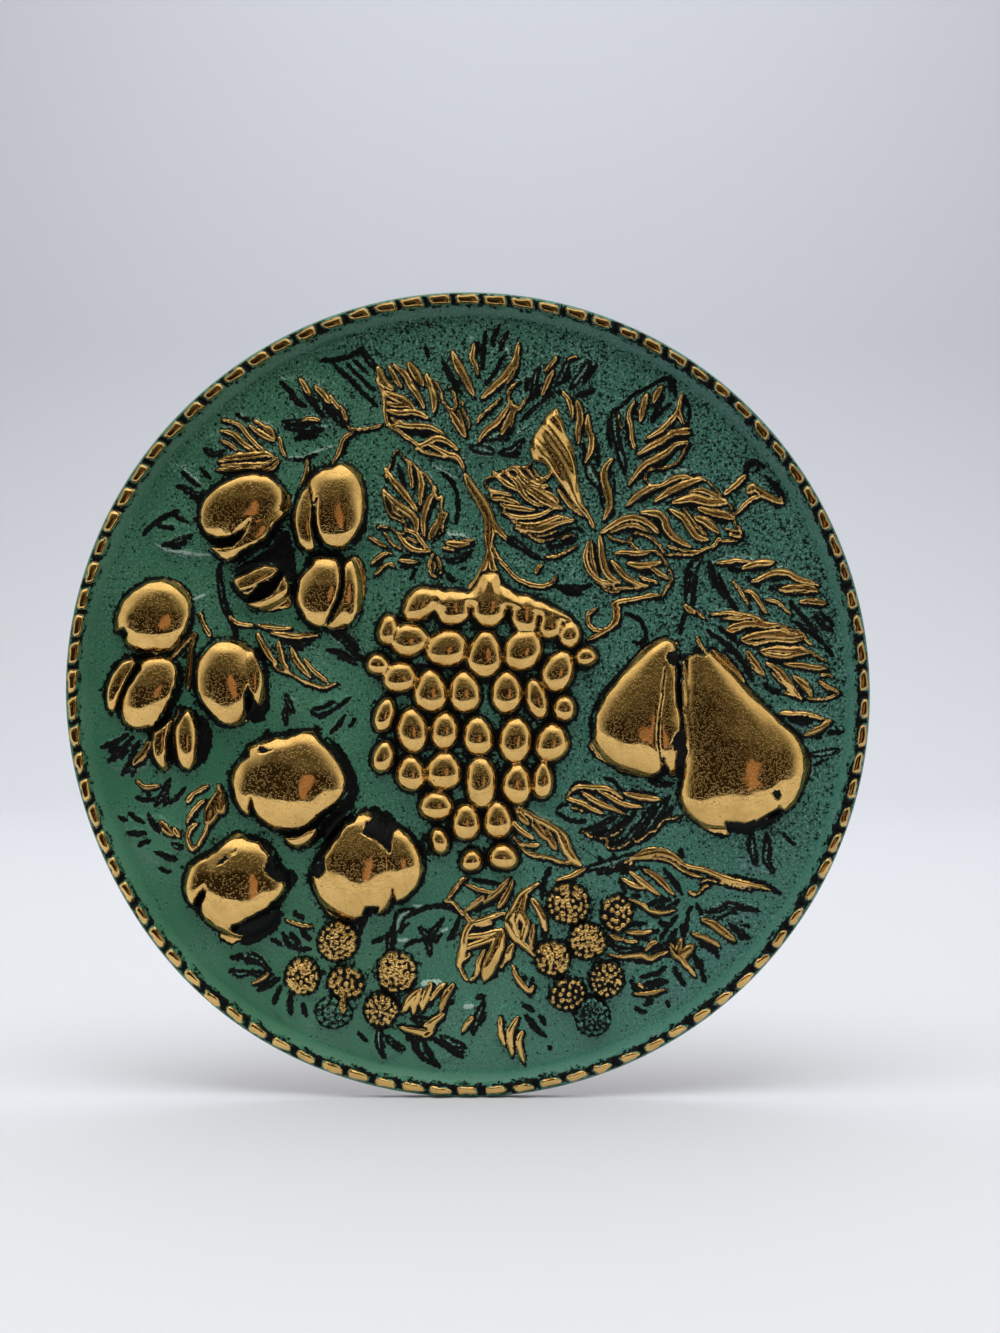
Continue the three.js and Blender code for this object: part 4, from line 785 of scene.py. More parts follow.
d 1.1 48.6,-31.6 51.4,-28.8
# Bramble branch and the sprigs right of it
G 1.2 23.6,-46.6 26.6,-45.4 29,-44.2 | d 1.7 29.6,-44.4 34,-43.2 38,-42 42,-40.5
g 0.8 36,-44 38,-43 40.6,-42 43,-41.2 48,-41.4 51,-42.2 54,-44 57,-45.8 60,-46.2
b 1.4 42,-41 46,-40.2 49,-40.2 52,-41.2 54,-42.6
g 0.9 43,-40 46,-39 49,-39.2 52,-40.4 53.6,-42
G 1.3 54,-42.4 56,-43.6 60,-44.4 63,-45.4 66,-46.8 72,-48 76,-49
k 0.9 54,-39 54.4,-41.6 | g 0.8 41,-43 41.6,-42 | k 0.8 36.6,-40.4 37.6,-41.4
k 0.8 33,-41 33.8,-42.4 | k 0.7 60.6,-47.4 61.4,-45.8 | d 0.9 68,-46.2 74,-47.6 78.6,-49.8
g 0.7 58.6,-48 60.6,-46.8 63.6,-47.4 68,-48.4 72,-49.2
k 0.8 57.2,-50 58.4,-50.8 60.4,-49 63,-48 | k 1 21.2,-43.6 19.6,-46.8 18.8,-51.6
g 1.1 78.4,-4.6 81.2,-4.6 86,-5.2 90.8,-6.2 | b 1.3 86,-9.6 91.2,-6.8 | d 1 82.8,-6.4 86,-7
d 0.9 92,-9.6 94,-9.6 | d 1.8 87.6,-14.8 92.4,-14 | k 0.6 88,-18 90,-17.4
d 1.6 71.6,-36.4 72.8,-42 | d 1.6 75.6,-36.4 75.6,-41.2 76.8,-44
n 0.9 66.8,-36 68.8,-38.8 70.4,-41.6 | k 0.7 79.6,-35.2 82.8,-38
# Bramble leaves, right side
G 1 39.8,-46.8 43.3,-48.6 | G 1.3 41.8,-45.5 44.4,-47.8 47.7,-49.9
b 1.3 45.2,-44.9 48,-46.4 51.5,-49.7 | d 1 50.2,-45.1 52.5,-47.5 54,-49.6
g 0.8 56,-49.8 58.4,-50.8 | g 0.7 58.4,-50.8 59.6,-49.2 61.4,-48.2
k 0.7 38.6,-46.6 40.4,-50 | k 0.6 41,-50.6 44,-51 | k 0.6 38.8,-45.4 42,-44.2 46,-43.6
G 1 41.6,-52 44,-53 46,-54.6 49.6,-55.4 51.6,-54.8 | d 1.1 46,-53.4 48,-52.2 50.4,-51.8
d 1.1 50.6,-54 52.8,-52.4 | d 1.2 61,-54.8 64,-54 66,-53 70,-54 73,-54.6
w 0.7 66,-54.4 69,-53.8 | k 0.8 58,-53 59.4,-56 | k 0.8 57,-53.6 55.6,-56
b 1.8 60,-57.2 62,-58 65,-60.4 67,-62 | d 1.1 67,-58.6 70.6,-61 | k 0.8 70,-58.6 71.8,-58.8
b 1.2 57.6,-60.6 60,-61.6 62.8,-63.4 | k 0.9 59,-63.4 61.4,-64.6 63.6,-66.6
k 0.8 41,-58.4 43,-58 45.4,-57.8 | G 1.1 41.4,-60 45.6,-59.8 | k 0.7 45.6,-59.8 48.6,-60
k 0.9 48.6,-57.6 51,-58.6 | b 1.1 37,-61 39,-61.8 | g 0.8 39.6,-62.4 43,-62.6
G 1.1 36.2,-65.6 38,-66.4 41,-66.2 44,-66 46,-66.6 49,-65.6 50.6,-65
d 1.3 37,-63.2 39,-64.8 43,-64.4 | d 1.2 45,-64.8 50,-64 52.4,-60.4
b 1.1 45.2,-64.4 46.4,-63 47.8,-62.6 | b 1.5 52,-64 53,-66.2 54,-62.6
b 1.9 54,-65.8 56.6,-63.8 | G 1.3 53.6,-66 55.4,-68.6 | g 0.9 56,-69 57.6,-71.4
k 0.9 57.6,-66 58,-69 | k 0.9 58.8,-67 60,-72.8 | k 0.9 52,-69 54,-72 55,-74
k 0.9 54.4,-58 54.8,-61 | k 0.8 55.8,-58.4 55,-61 | k 1 43.6,-71.4 47,-70.8 50.4,-68.8
g 0.8 43.2,-73 44.6,-74.4 | d 1.1 44.6,-74 47,-72.8 49.8,-72.6
b 1 43,-75.6 46,-75.6 49.4,-74.8
k 0.8 41.6,-72 42.2,-74 43.6,-76.2 | k 0.9 44.4,-78.6 47,-77.8
k 0.8 42.4,-79 43.4,-80.2 45.4,-80.6
k 0.9 50.6,-77.4 51,-79 | k 0.8 53,-56 51,-59 49,-62 | k 0.8 56,-56 55,-60 53.8,-64
# Bramble leaves, middle
G 1.8 17.2,-48.4 14,-50.4 12,-53.6 10.4,-57.2 10.8,-58.8 12,-61.6 14,-63.2 16.4,-65.6
G 1.8 14.6,-51 13.4,-55 14.8,-58 13.6,-62.6 | G 1.5 12.6,-54 12,-58 13,-61
G 1.6 16.8,-52.4 18.8,-55.6 19.6,-58.8 | b 1.2 16.8,-59.2 16.4,-64 | d 1 19.6,-58 19.8,-61.6
G 1.4 0,-56 1.2,-57.6 4,-56.8 8,-55.6 9.2,-55.6 | G 1.8 1.2,-57.6 -0.4,-60.4 -1.2,-64 -2,-68
g 1.1 1.2,-58 6.4,-57.6 | G 1.4 -0.8,-61.6 4,-60.6 8,-59.6 | G 1.6 0,-63.6 6.8,-60.8
G 3.2 8.4,-60.4 7,-65.6 4.6,-71.4 | G 1.2 4,-65.6 2.8,-69.6 | g 1 -2,-67.6 0.8,-65.2
g 1 0.4,-72.8 3.2,-70 | G 1.6 11.2,-64 10.4,-66.4 | g 0.9 8.4,-69.2 10,-66.8
g 0.9 -2,-68 -1.2,-71 0,-72.8 | g 1 0,-46 -2.4,-48 -5.2,-51.6
g 1 -6.4,-52 -4,-52.6 -1.6,-55.2 0,-56 | b 1 0,-48 6,-50 | k 0.8 1.2,-46.8 8.4,-47.6
b 1.4 4.8,-52 9.6,-47.2 | b 1.3 0.4,-54 3.2,-51.6 | b 1.4 8,-53.2 10.8,-48
k 0.7 1.6,-54.8 6,-52.6 | G 1.3 11.6,-69.2 12.4,-71.6 15.6,-75.2 16.4,-74
k 0.8 14,-70.8 14.8,-72.4 | k 0.8 16.4,-71.6 16.4,-74
n 0.7 16,-75.6 18.8,-77.2 22,-79.6 24,-81.2 | k 1 2,-76.6 4.4,-76 | w 1.2 -1.2,-79 1.6,-78.6
d 1.5 4,-78.4 1.6,-84.8 | G 1.3 0.8,-82 -0.8,-84.4 | G 1.3 8.4,-82.4 9.2,-87.6
G 1.5 12,-82.4 10.8,-86 11,-90.4 | G 1.4 13.6,-86 12.8,-88.4 14,-92.4 | d 1 15.2,-82 18.8,-85.6
k 0.9 18,-81.2 19.6,-83.6 | k 0.9 14,-78.4 16.8,-80.4 | k 0.7 20,-88.8 21.2,-90
# Leaves at the bottom left
G 1.8 -12.4,-75.2 -16,-79.6 | G 1.6 -12.4,-76 -13.6,-79.8 | G 1.6 -9.6,-74 -11.2,-78.8
G 1.2 -6.4,-74 -8.8,-76.4 | b 1.6 -4,-74.4 -6.4,-78.8 | w 1.6 -12,-73 -6.4,-73
d 1.4 -13.6,-82 -8.8,-82 -6,-79.6 | G 1.5 -10,-83.2 -7.2,-81.2
G 1.5 -16.4,-84.4 -12,-85.4 -9.6,-85 -8,-82 | d 1.3 -16.8,-84 -10,-84
d 1 -13.6,-87.2 -11.6,-91.6 | d 1 -10.8,-88 -7.6,-93.6 | k 1 -8.8,-86.8 -4,-90 -1.2,-92
d 1.6 -5.6,-86.8 -1.6,-88.8 | k 0.8 -11.2,-92 -7.6,-94 | d 1.6 -22.4,-84.8 -22,-89.2
d 1.4 -20,-86.8 -16.8,-89.2 | k 0.8 -15.6,-86 -14.8,-87.6 | k 0.6 -27.6,-85.2 -25.2,-88
k 0.6 -22,-90 -20.8,-92 | k 1.1 -47.2,-74 -48.8,-78.4 | d 1.1 -44.4,-76.8 -44.6,-80
k 1 -41.6,-78 -40.6,-81.2 | n 0.8 -51.6,-76 -48.8,-80 -45.6,-82.8 -40,-84
k 1.1 -46.8,-60.4 -44.8,-63.6 -39.6,-64.4 | k 1 -44.8,-60.4 -42.4,-62.8 | k 0.9 -42,-60 -39.6,-62
k 0.9 -49.6,-62 -46.8,-63.6 | b 0.9 -44.8,-57.2 -40.4,-58.4 | k 0.8 -44,-55.2 -41.2,-56.8
d 1.6 -58.8,-66.4 -54,-66.4 -50.8,-69.2 | d 1.5 -59.2,-70 -56,-70.4 | d 1.2 -54.4,-70.4 -50.4,-71
G 1 -53.6,-72.8 -51.2,-71.2 | d 1.1 -52,-74.4 -48.8,-72.4
# Twig and small flower at the bottom
d 2.2 -18,-59.4 -17,-56.4 -14.8,-55 | k 1 -14,-55.6 -10,-53.8 -6,-53.8 -2.4,-55.2 0,-56.4
w 0.8 -14,-53.4 -11.2,-53.6 | d 1.3 -10,-62 -11.6,-59.6 | d 1.3 -10,-62 -8.8,-60 -6.8,-57.6
d 1.3 -10,-62 -9.6,-65.2 | k 0.9 -10,-62 -13.2,-62.4 -16,-64 | w 1 -18,-62.4 -14.8,-61.8
w 0.8 -6.8,-60 -4.8,-59 | d 1 -4.4,-61.2 -2.4,-57.2 | d 1.3 -18.8,-59.2 -19.6,-61.6 -20,-65.2
d 1 -23.2,-62 -20,-60.4 | d 0.9 -26,-57.4 -27,-60 | b 1.4 -31.4,-76 -31.4,-79.2
"""
# Creases and lobes on the fruit.
CREASES = """
v 1.6 -68,41 -64,38.6 -60,38.8 -56.4,41 -54.8,44 | v 1.6 -40,53 -38.6,44 -38.5,37
v 1.2 -58,25.5 -53,27.5 -46.5,31 | v 1.6 -31.6,35 -31.5,30 -33,22 -35.5,17.5
v 1.4 -79,11.5 -83,7.8 -86.4,1 -88.7,-5.6 | v 1.4 -54.4,-0.5 -55.6,-4 -56.5,-7
v 1.2 -74.4,-5 -74,-19 | v 1.4 -66.2,-48.4 -68,-51.2 -69.2,-57.4
v 1.4 -18.9,-48.4 -18.8,-52.6 | v 1.2 -54.6,-26 -54.6,-31
v 1.2 49.6,7 48.4,-3.6 48,-10.5 49.4,-20 | v 1.4 66,-37 65.4,-32.2 | v 1.2 79.4,-32 78.6,-28
"""
OUTLINE = 0.18  # width of the black line left round a bright rib
# More black is put on this side of a rib, below and right of it, as a painted shadow.
SHADOW_SIDE = (0.30, -0.45)
SHADOW_EDGE = 0.35
CREASE_OUTLINE = 0.28
CREASE_GAP = 0.20  # width of bright metal that a crease cuts away on each side of it
RIB_SWELL = 1.15  # a rib is this much wider in its middle than drawn
RIB_POINT = 1.2  # how far the point of a rib may run out beyond its drawn end
FOOT = 0.55  # how far the slope of a ridge spreads beyond its top
# The rise of each kind of ridge in mm, and its finish.
KINDS = {
    "G": (0.95, "polish"),
    "g": (0.60, "polish"),
    "b": (0.80, "brown"),
    "d": (0.75, "dark"),
    "k": (0.35, "dark"),
    "n": (0.50, None),
    "w": (0.50, "pale_rub_and_highlight"),
    "v": (0.55, "crease"),
}


def rows_of(text):
    """Each stroke as (kind, width, points). An indented line goes on from the one above it."""
    for line in text.replace("\n    ", " ").splitlines():
        if line and not line.startswith("#"):
            for item in line.split("|"):
                kind, width, points = item.split(maxsplit=2)
                yield kind, float(width), points_of(points)


def smooth_line(points):
    """A Catmull-Rom curve through the points, with a step of about half a millimetre."""
    if len(points) == 2:
        middle = points.mean(0) + 0.05 * (points[1] - points[0])[::-1] * [1, -1]
        points = np.array([points[0], middle, points[1]])
    ends = np.vstack([2 * points[0] - points[1], points, 2 * points[-1] - points[-2]])
    line = []
    for a, b, c, d in zip(ends, ends[1:], ends[2:], ends[3:]):
        steps = max(2, int(np.hypot(*(c - b)) / 0.5))
        for t in np.arange(steps) / steps:
            line.append(0.5 * (2 * b + (c - a) * t + (2 * a - 5 * b + 4 * c - d) * t**2
                               + (3 * b - a - 3 * c + d) * t**3))
    line.append(points[-1])
    return np.array(line)


def stroke(kind, width, points):
    """A ridge or crease along a line, pointed at its ends when it is a rib."""
    is_rib = kind in "Gbd"
    if is_rib:
        width = width * RIB_SWELL
        reach_out = 0.45 * np.array([points[0] - points[1], points[-1] - points[-2]])
        reach_out *= np.minimum(1, RIB_POINT / np.maximum(np.hypot(*reach_out.T), 0.01))[:, None]
        points = np.vstack([points[0] + reach_out[0], points[1:-1], points[-1] + reach_out[1]])
    line = smooth_line(points)
    lengths = np.hypot(*np.diff(line, axis=0).T)
    total = lengths.sum()
    part = window(line.min(0), line.max(0), width / 2 + 1.6)
    px, py = WAVY_X[part], WAVY_Y[part]
    nearest = np.full(px.shape, 99.0, np.float32)
    shadow = nearest.copy()
    place = np.zeros(px.shape, np.float32)
    done = 0.0
    for a, b, length in zip(line, line[1:], lengths):
        ux, uy = (b - a) / length
        dx, dy = px - a[0], py - a[1]
        t = np.clip(dx * ux + dy * uy, 0, length)
        apart = np.hypot(dx - t * ux, dy - t * uy)
        closer = apart < nearest
        nearest = np.where(closer, apart, nearest)
        sx, sy = dx - SHADOW_SIDE[0], dy - SHADOW_SIDE[1]
        t_side = np.clip(sx * ux + sy * uy, 0, length)
        shadow = np.minimum(shadow, np.hypot(sx - t_side * ux, sy - t_side * uy))
        place = np.where(closer, (done + t) / total, place)
        done += length
    rise, finish = KINDS[kind]
    bell = np.clip(4 * place * (1 - place), 0, 1)
    taper = bell**0.55 if is_rib else np.minimum(1, 2.2 * bell) ** 0.5
    half = width / 2 * (0.18 + 0.82 * taper)
    foot = half + FOOT
    slope = np.clip(1 - nearest / foot, 0, 1)
    # The section of a ridge is part round and part steep-sided, as a graver leaves it in the die.
    body = 0.4 * np.clip(1 - (nearest / foot) ** 2, 0, 1) ** 0.6 + 0.6 * slope * (1.35 - 0.35 * slope)
    rise = rise * (0.55 + 0.25 * width) * (0.5 + 0.5 * taper)
    inside = half - nearest
    if finish == "crease":
        lift(groove, part, rise * np.clip(1 - nearest / (width * 0.9), 0, 1) ** 1.6)
        lift(dark, part, CREASE_OUTLINE * taper - nearest)
        lower(polish, part, nearest - CREASE_GAP * taper)
        return
    lift(ridge, part, rise * body)
    if finish in ("polish", "brown"):
        lift(polish, part, inside)
        # The black on the rib's lower right side is painted shadow; the thin outline round the rib is
        # patina.
        lift(dark, part, np.maximum(inside + OUTLINE, half + SHADOW_EDGE - shadow))
    if finish == "brown":
        lift(brown, part, np.clip(inside + 0.6, 0, 1))
    if finish == "dark":
        # Black lies along the foot of the rib, and the rib's crest keeps some paint, with pale paint along
        # its middle as a painted highlight.
        crest = np.clip((inside - 0.25) / 0.5, 0, 1) if kind == "d" else 0.0
        lift(dark, part, np.minimum(inside + 0.30, 0.6) - 0.75 * crest)
        lift(pale_rub_and_highlight, part, inside - 0.75 * half)
    # A w ridge is pale paint, partly worn and partly a painted highlight.
    if finish == "pale_rub_and_highlight":
        lift(pale_rub_and_highlight, part, inside)
    lift(vein, part, np.clip(1.4 - (nearest - half) / 1.1, 0, 1))


strokes = list(rows_of(STROKES))
for kind, width, points in strokes:
    stroke(kind, width, points)
# Each rib gets a thin black line or two along its lower side, where its shadow falls: low ridges with black
# in them, so partly painted shadow.
SHADE_LINE_SIDE = np.array([0.5, -0.85])
SHADE_LINE_STEP = 0.75
NARROWEST_WITH_SHADE_LINES = 0.9
SHORTEST_WITH_SHADE_LINES = 4
hatch = np.random.default_rng(77)
for kind, width, points in strokes:
    long_enough = np.hypot(*(points[-1] - points[0])) > SHORTEST_WITH_SHADE_LINES
    if kind not in "Gbd" or width < NARROWEST_WITH_SHADE_LINES or not long_enough:
        continue
    for step in range(2):
        offset = SHADE_LINE_SIDE * (SHADE_LINE_STEP + 0.5 * width + SHADE_LINE_STEP * step) + hatch.uniform(-0.25, 0.25, 2)
        start, stop = hatch.uniform(0.05, 0.35), hatch.uniform(0.6, 0.95)
        line = smooth_line(points) + offset
        line = line[int(start * len(line)):int(stop * len(line))]
        if len(line) > 3 and hatch.uniform() < 0.75:
            stroke("k", hatch.uniform(0.35, 0.6), line[::3])
for kind, width, points in rows_of(CREASES):
    stroke(kind, width, points)
print(len(strokes), "ribs, stems and tendrils")

# %% [markdown]
# ## Berries, and the rippled lobe
# A bramble berry is a low dome covered with studs, one for each drupelet. The studs sit in rings, half a
# stud out of step, as they grow. One lobe of the big vine leaf is a wide rippled panel, rubbed bright all
# over, so it is a filled outline with waves across it.

# %% Berries
# [x, y, half width, half height, how far the studs are rubbed bright]
BERRIES = [
    [25.6, -53.0, 5.4, 5.1, 0.9],
    [37.8, -55.2, 3.8, 4.7, 0.9],
    [30.3, -62.3, 4.7, 4.8, 0.9],
    [21.5, -66.8, 4.6, 4.4, 0.9],
    [35.2, -72.0, 4.4, 4.4, 0.7],
    [25.4, -75.8, 4.7, 4.1, 0.8],
    [31.8, -81.6, 4.2, 4.6, 0.1],
    [-32.8, -62.6, 4.9, 5.0, 0.9],
    [-41.8, -71.2, 4.5, 4.8, 0.9],
    [-30.6, -72.9, 4.6, 3.9, 0.9],
    [-34.0, -80.5, 4.4, 3.6, 0.2],
    [-18.0, -70.2, 4.9, 5.1, 1.0],
    [-22.0, -79.8, 4.4, 4.2, 0.8],
]
BERRY_RISE = 1.7
STUD = 1.5  # distance between studs
STUD_RISE = 0.8
STUD_RING = 0.22
UNTOUCHED = 0.3
scatter = np.random.default_rng(31)


def stud(x, y, radius, rise, bright):
    """One drupelet, with a black ring round it."""
    part = window((x, y), (x, y), 2)
    rho = np.hypot(WAVY_X[part] - x, WAVY_Y[part] - y) / radius
    ball = rise + STUD_RISE * np.sqrt(np.clip(1 - rho**2, 0, 1))
    height[part] = np.where(rho < 1, np.maximum(height[part], ball), height[part])
    lift(polish, part, (bright - rho) * radius)
    lift(dark, part, STUD_RING - np.abs(rho - 1) * radius)


def berry(x, y, half_w, half_h, bright):
    """A dome with rings of studs on it. One that the rag never touched stays under its paint."""
    part = window((x - half_w, y - half_h), (x + half_w, y + half_h), 1)
    rho = np.hypot((WAVY_X[part] - x) / half_w, (WAVY_Y[part] - y) / half_h)
    small = min(half_w, half_h)
    lift(height, part, BERRY_RISE * dome(rho))
    if bright > UNTOUCHED:
        lift(dark, part, (1.02 - rho) * small)
    rings = int(round((small - 0.75) / (STUD * 0.9)))
    for ring in range(rings + 1):
        spread = ring / rings * (small - 0.7)
        number = max(1, int(round(2 * np.pi * spread / STUD)))
        for k in range(number):
            turn = 2 * np.pi * (k + 0.5 * ring + scatter.uniform(-0.2, 0.2)) / number
            out = spread + scatter.uniform(-0.15, 0.15)
            cx = x + out * half_w / small * np.cos(turn)
            cy = y + out * half_h / small * np.sin(turn)
            slope = min(0.96, np.hypot((cx - x) / half_w, (cy - y) / half_h))
            radius = STUD * scatter.uniform(0.48, 0.66)
            shine = bright * scatter.uniform(0.7, 1.1)
            stud(cx, cy, radius, BERRY_RISE * float(dome(slope)), shine)


for row in BERRIES:
    berry(*row)

# %% The rippled lobe
LOBE = points_of("""22.6,73 20.6,71.5 19.2,69.6 16.8,66 15.8,62 16.6,59.4 19.5,58.6 21,56 23.5,53
26.5,49 31.6,42.4 29.2,48.4 27.8,54 27.6,58 26.8,62.4 24.8,66.4""")
LOBE_RISE = 1.5
LOBE_MIDDLE = (24, 62)
ACROSS_LOBE = (0.83, 0.56)

part = window(LOBE.min(0), LOBE.max(0), 2)
px, py = WAVY_X[part], WAVY_Y[part]
inside = depth_inside(LOBE, px, py)
off_x, off_y = px - LOBE_MIDDLE[0], py - LOBE_MIDDLE[1]
across = off_x * ACROSS_LOBE[0] + off_y * ACROSS_LOBE[1] + 0.06 * off_y**2 / 4
wave = 0.34 * np.sin(across * 2.2) + 0.14 * np.sin(across * 1.1 + 1.0)
lift(ridge, part, np.clip(inside / 1.4, 0, 1) ** 0.6 * (LOBE_RISE + wave))
lift(dark, part, inside + OUTLINE)
lift(polish, part, inside)
print(len(BERRIES), "berries, and a lobe", round(float(inside.max()) * 2, 1), "mm wide")

# %% [markdown]
# ## The rope rim
# Outside the field the sheet steps up to a band and then to a rope of ninety beads. Each bead is a short
# bar laid a little askew, wider at its clockwise end. They are cut by one formula round the plate, because
# the die maker used one punch for all of them. Their tops are rubbed bright and the gaps stay black.

# %% Rope rim
FIELD_RADIUS = 95.9
BEADS = 90
BEAD_RADIUS = 99.6
BEAD_LENGTH = 6.3
BEAD_WIDTH = 3.0
BEAD_RISE = 1.25
BEAD_SLANT = 0.35
RIM_RISE = 2.1
BAND_RISE = 0.35
LIP_RADIUS = 101.3
GAP_REACH = 1.35  # how far inside the beads' middle line the black of the gaps reaches
# The step up to the rim: its height at each radius.
STEP_RADII = [0, FIELD_RADIUS - 0.5, FIELD_RADIUS + 0.3, 97.6, 98.6, LIP_RADIUS, 102.2, REACH]
STEP_HEIGHTS = [0, 0, BAND_RISE, 1.25, RIM_RISE, RIM_RISE, 1.2, 0.6]
# The inner half of each bead is left unpolished, most of all toward the lower right: partly patina that the
# rag missed, partly a painted dark reflection.
INNER_DARKENING = 0.30
DARKENING_SLANT = 0.003  # more for each millimetre to the right and down
WORN_PATCHES = 0.6

pitch = 2 * np.pi * BEAD_RADIUS / BEADS
count = (ANGLE - 90) / (360 / BEADS)
number = np.round(count - BEAD_SLANT * (RADIUS - BEAD_RADIUS) / pitch)
along = (count - number) * pitch * RADIUS / BEAD_RADIUS - BEAD_SLANT * (RADIUS - BEAD_RADIUS)
vary = np.random.default_rng(11).uniform(-1, 1, (BEADS, 3))
own = vary[number.astype(int) % BEADS]
along += waves((0.22, 1.9, 61), (0.15, 0.9, 62))
across = RADIUS - BEAD_RADIUS + 0.15 * own[..., 0] + 0.18 * noise(1.7, 63) + 0.12 * noise(0.8, 64)
end_width = BEAD_WIDTH / 2 * (1 - 0.16 * along / BEAD_LENGTH * 2)
long_part = np.abs(along) / (BEAD_LENGTH / 2 * (0.97 + 0.05 * own[..., 1]))
# High powers make a bead a bar with rounded corners, flat on top.
rho = (long_part**5 + np.abs(across / end_width) ** 3.4) ** (1 / 4)
bead = (1 - np.minimum(rho, 1) ** 3.2) ** 0.6 * BEAD_RISE * (1 + 0.08 * own[..., 2])
band = np.interp(RADIUS, STEP_RADII, STEP_HEIGHTS)
in_rim = RADIUS > FIELD_RADIUS - 1.5
height = np.where(in_rim, np.maximum(height * (RADIUS < FIELD_RADIUS - 0.6), band + bead), height)
inner_half = np.clip(0.2 - across, 0, 1)
dark_reflection_and_wear = np.clip(INNER_DARKENING + DARKENING_SLANT * GRID_X - DARKENING_SLANT * GRID_Y, 0, 1) * inner_half
dark_reflection_and_wear += WORN_PATCHES * np.clip(noise(2.2, 66) - 0.1, 0, 1)
bare_bead = (1 - rho) * BEAD_WIDTH / 2 - 0.15 - 0.8 * dark_reflection_and_wear
rim_polish = np.where(in_rim, bare_bead, -FAR)
gap = np.minimum(0.05 - bare_bead, RADIUS - BEAD_RADIUS + GAP_REACH + 0.3 * noise(1.6, 67))
gap = np.where(in_rim & (RADIUS < BEAD_RADIUS + BEAD_WIDTH / 2), gap, -FAR)
print("bead pitch", round(pitch, 2), "mm")

# %% [markdown]
# ## From the drawing to the sheet
# The ribs go onto the fruit and field, the creases are taken out, and the whole is softened a little,
# because sheet metal cannot follow a die into a sharp corner. Then the hollows are found: a point lower
# than the average of its neighbourhood is one. The plaque was blackened all over and wiped, so black stays
# in hollows, and the rag takes it off whatever stands proud.

# %% Pressed shape, hollows and finish
SOFTENING = 0.2
RIB_FILLET = 0.2
DENTS = [(0.22, 7.0, 5), (0.07, 3.1, 6), (0.012, 1.4, 12)]
FIELD_WAVES = [(0.035, 9.0, 7), (0.02, 2.6, 8)]
STALK_X, STALK_Y = 4.5, 40  # where the grapes' stalks meet
CAP_RISE = 3.3
CAP_LOW = 19.5  # the cap's lower edge at the middle; it hangs lower at the sides
CAP_FADE = 4.0
CAP_FILLET = 1.2
CAP_UNDERSIDE = 1.6  # the cap is polished only where it is higher than this
HOLLOW_REACH = 0.6  # how far the neighbourhood of a point reaches
DEEPEST_POLISHED = 0.42  # a hollow deeper than this, in mm, is no longer polished
SHALLOWEST_BLACK = 0.20  # and one deeper than this is black
PROUD = 1.0  # relief higher than this gets painted shade round its foot
SHADE_NEAR_REACH, SHADE_WIDE_REACH = 1.3, 4.0
on_fruit = np.clip(height / 1.5, 0, 1) * (RADIUS < FIELD_RADIUS - 1)
ribbed = merge(height, (ridge_floor + ridge) * (RADIUS < FIELD_RADIUS + 1), RIB_FILLET)
height = np.maximum(height, ribbed - groove)
height -= groove * (on_fruit > 0.2)
height += on_fruit * waves(*DENTS) * np.clip(height / 4, 0, 1)
# The top grapes run up into the stalks, and the cap they make is fluted.
part, inside = area(RUBBED[-1][1])
off_x = GRID_X[part] - STALK_X
turn = np.arctan2(off_x, STALK_Y - GRID_Y[part])
flutes = 0.14 * np.sin(turn * 19) + 0.07 * np.sin(turn * 43 + 1)
cap = np.clip(inside / 3.0 + 0.1, 0, 1) ** 0.5 * (CAP_RISE + 1.3 * flutes)
fade = np.clip((GRID_Y[part] - CAP_LOW + 0.008 * off_x**2) / CAP_FADE, 0, 1)
press(part, cap * fade * fade * (3 - 2 * fade), CAP_FILLET)
height += (RADIUS < FIELD_RADIUS) * waves(*FIELD_WAVES)
height = np.maximum(blurred(height.astype(np.float32), SOFTENING), 0)

hollow = blurred(height, HOLLOW_REACH) - height
polish = np.where(in_rim, rim_polish, polish)
# Between the top grapes the cap ends, and the gaps under it stay black.
low_cap = (inside > -0.3) & (height[part] < CAP_UNDERSIDE)
lower(polish, part, np.where(low_cap, -0.3, FAR))
lift(dark, part, np.where(low_cap, 0.3, -FAR))
polish = np.minimum(polish, (DEEPEST_POLISHED - hollow) * 3.0)
dark = np.maximum(dark, (hollow - SHALLOWEST_BLACK) * 3.0)
dark = np.maximum(dark, gap)
polish, dark, pale_rub_and_highlight = [np.clip(values, -2, 2) for values in (polish, dark, pale_rub_and_highlight)]
# The beads at the top and right are browner: a painted reflection of the dark room, with a random tarnish in
# it.
bead_brown_reflection_and_tarnish = np.clip(0.45 + 0.006 * GRID_Y + 0.004 * GRID_X + 0.35 * noise(5.0, 65), 0, 0.9)
brown = np.where(in_rim, bead_brown_reflection_and_tarnish, brown)

# The paint was wiped with a black wash, whose specks lie thicker toward the top and right. Round the
# relief they lie thicker still, as painted shade, strongest at its foot.
raised = ((height > PROUD) & (RADIUS < FIELD_RADIUS)).astype(np.float32)
near = blurred(raised, SHADE_NEAR_REACH)
wide = blurred(np.maximum(raised, 0.8 * shade), SHADE_WIDE_REACH)
side = np.clip(0.60 + 0.0030 * GRID_X + 0.0040 * GRID_Y, 0.12, 1)
specks_and_shade = side * (0.95 + 0.35 * wide) + 0.45 * near + 0.45 * shade * vein * side
specks_and_shade = np.clip(specks_and_shade + 0.16 * noise(14.0, 9) + 0.12 * noise(5.0, 10) - 0.05, 0, 1)
specks_and_shade = np.where(RADIUS > FIELD_RADIUS, 0.3 * specks_and_shade, specks_and_shade)
print("highest point", round(float(height.max()), 2), "mm")

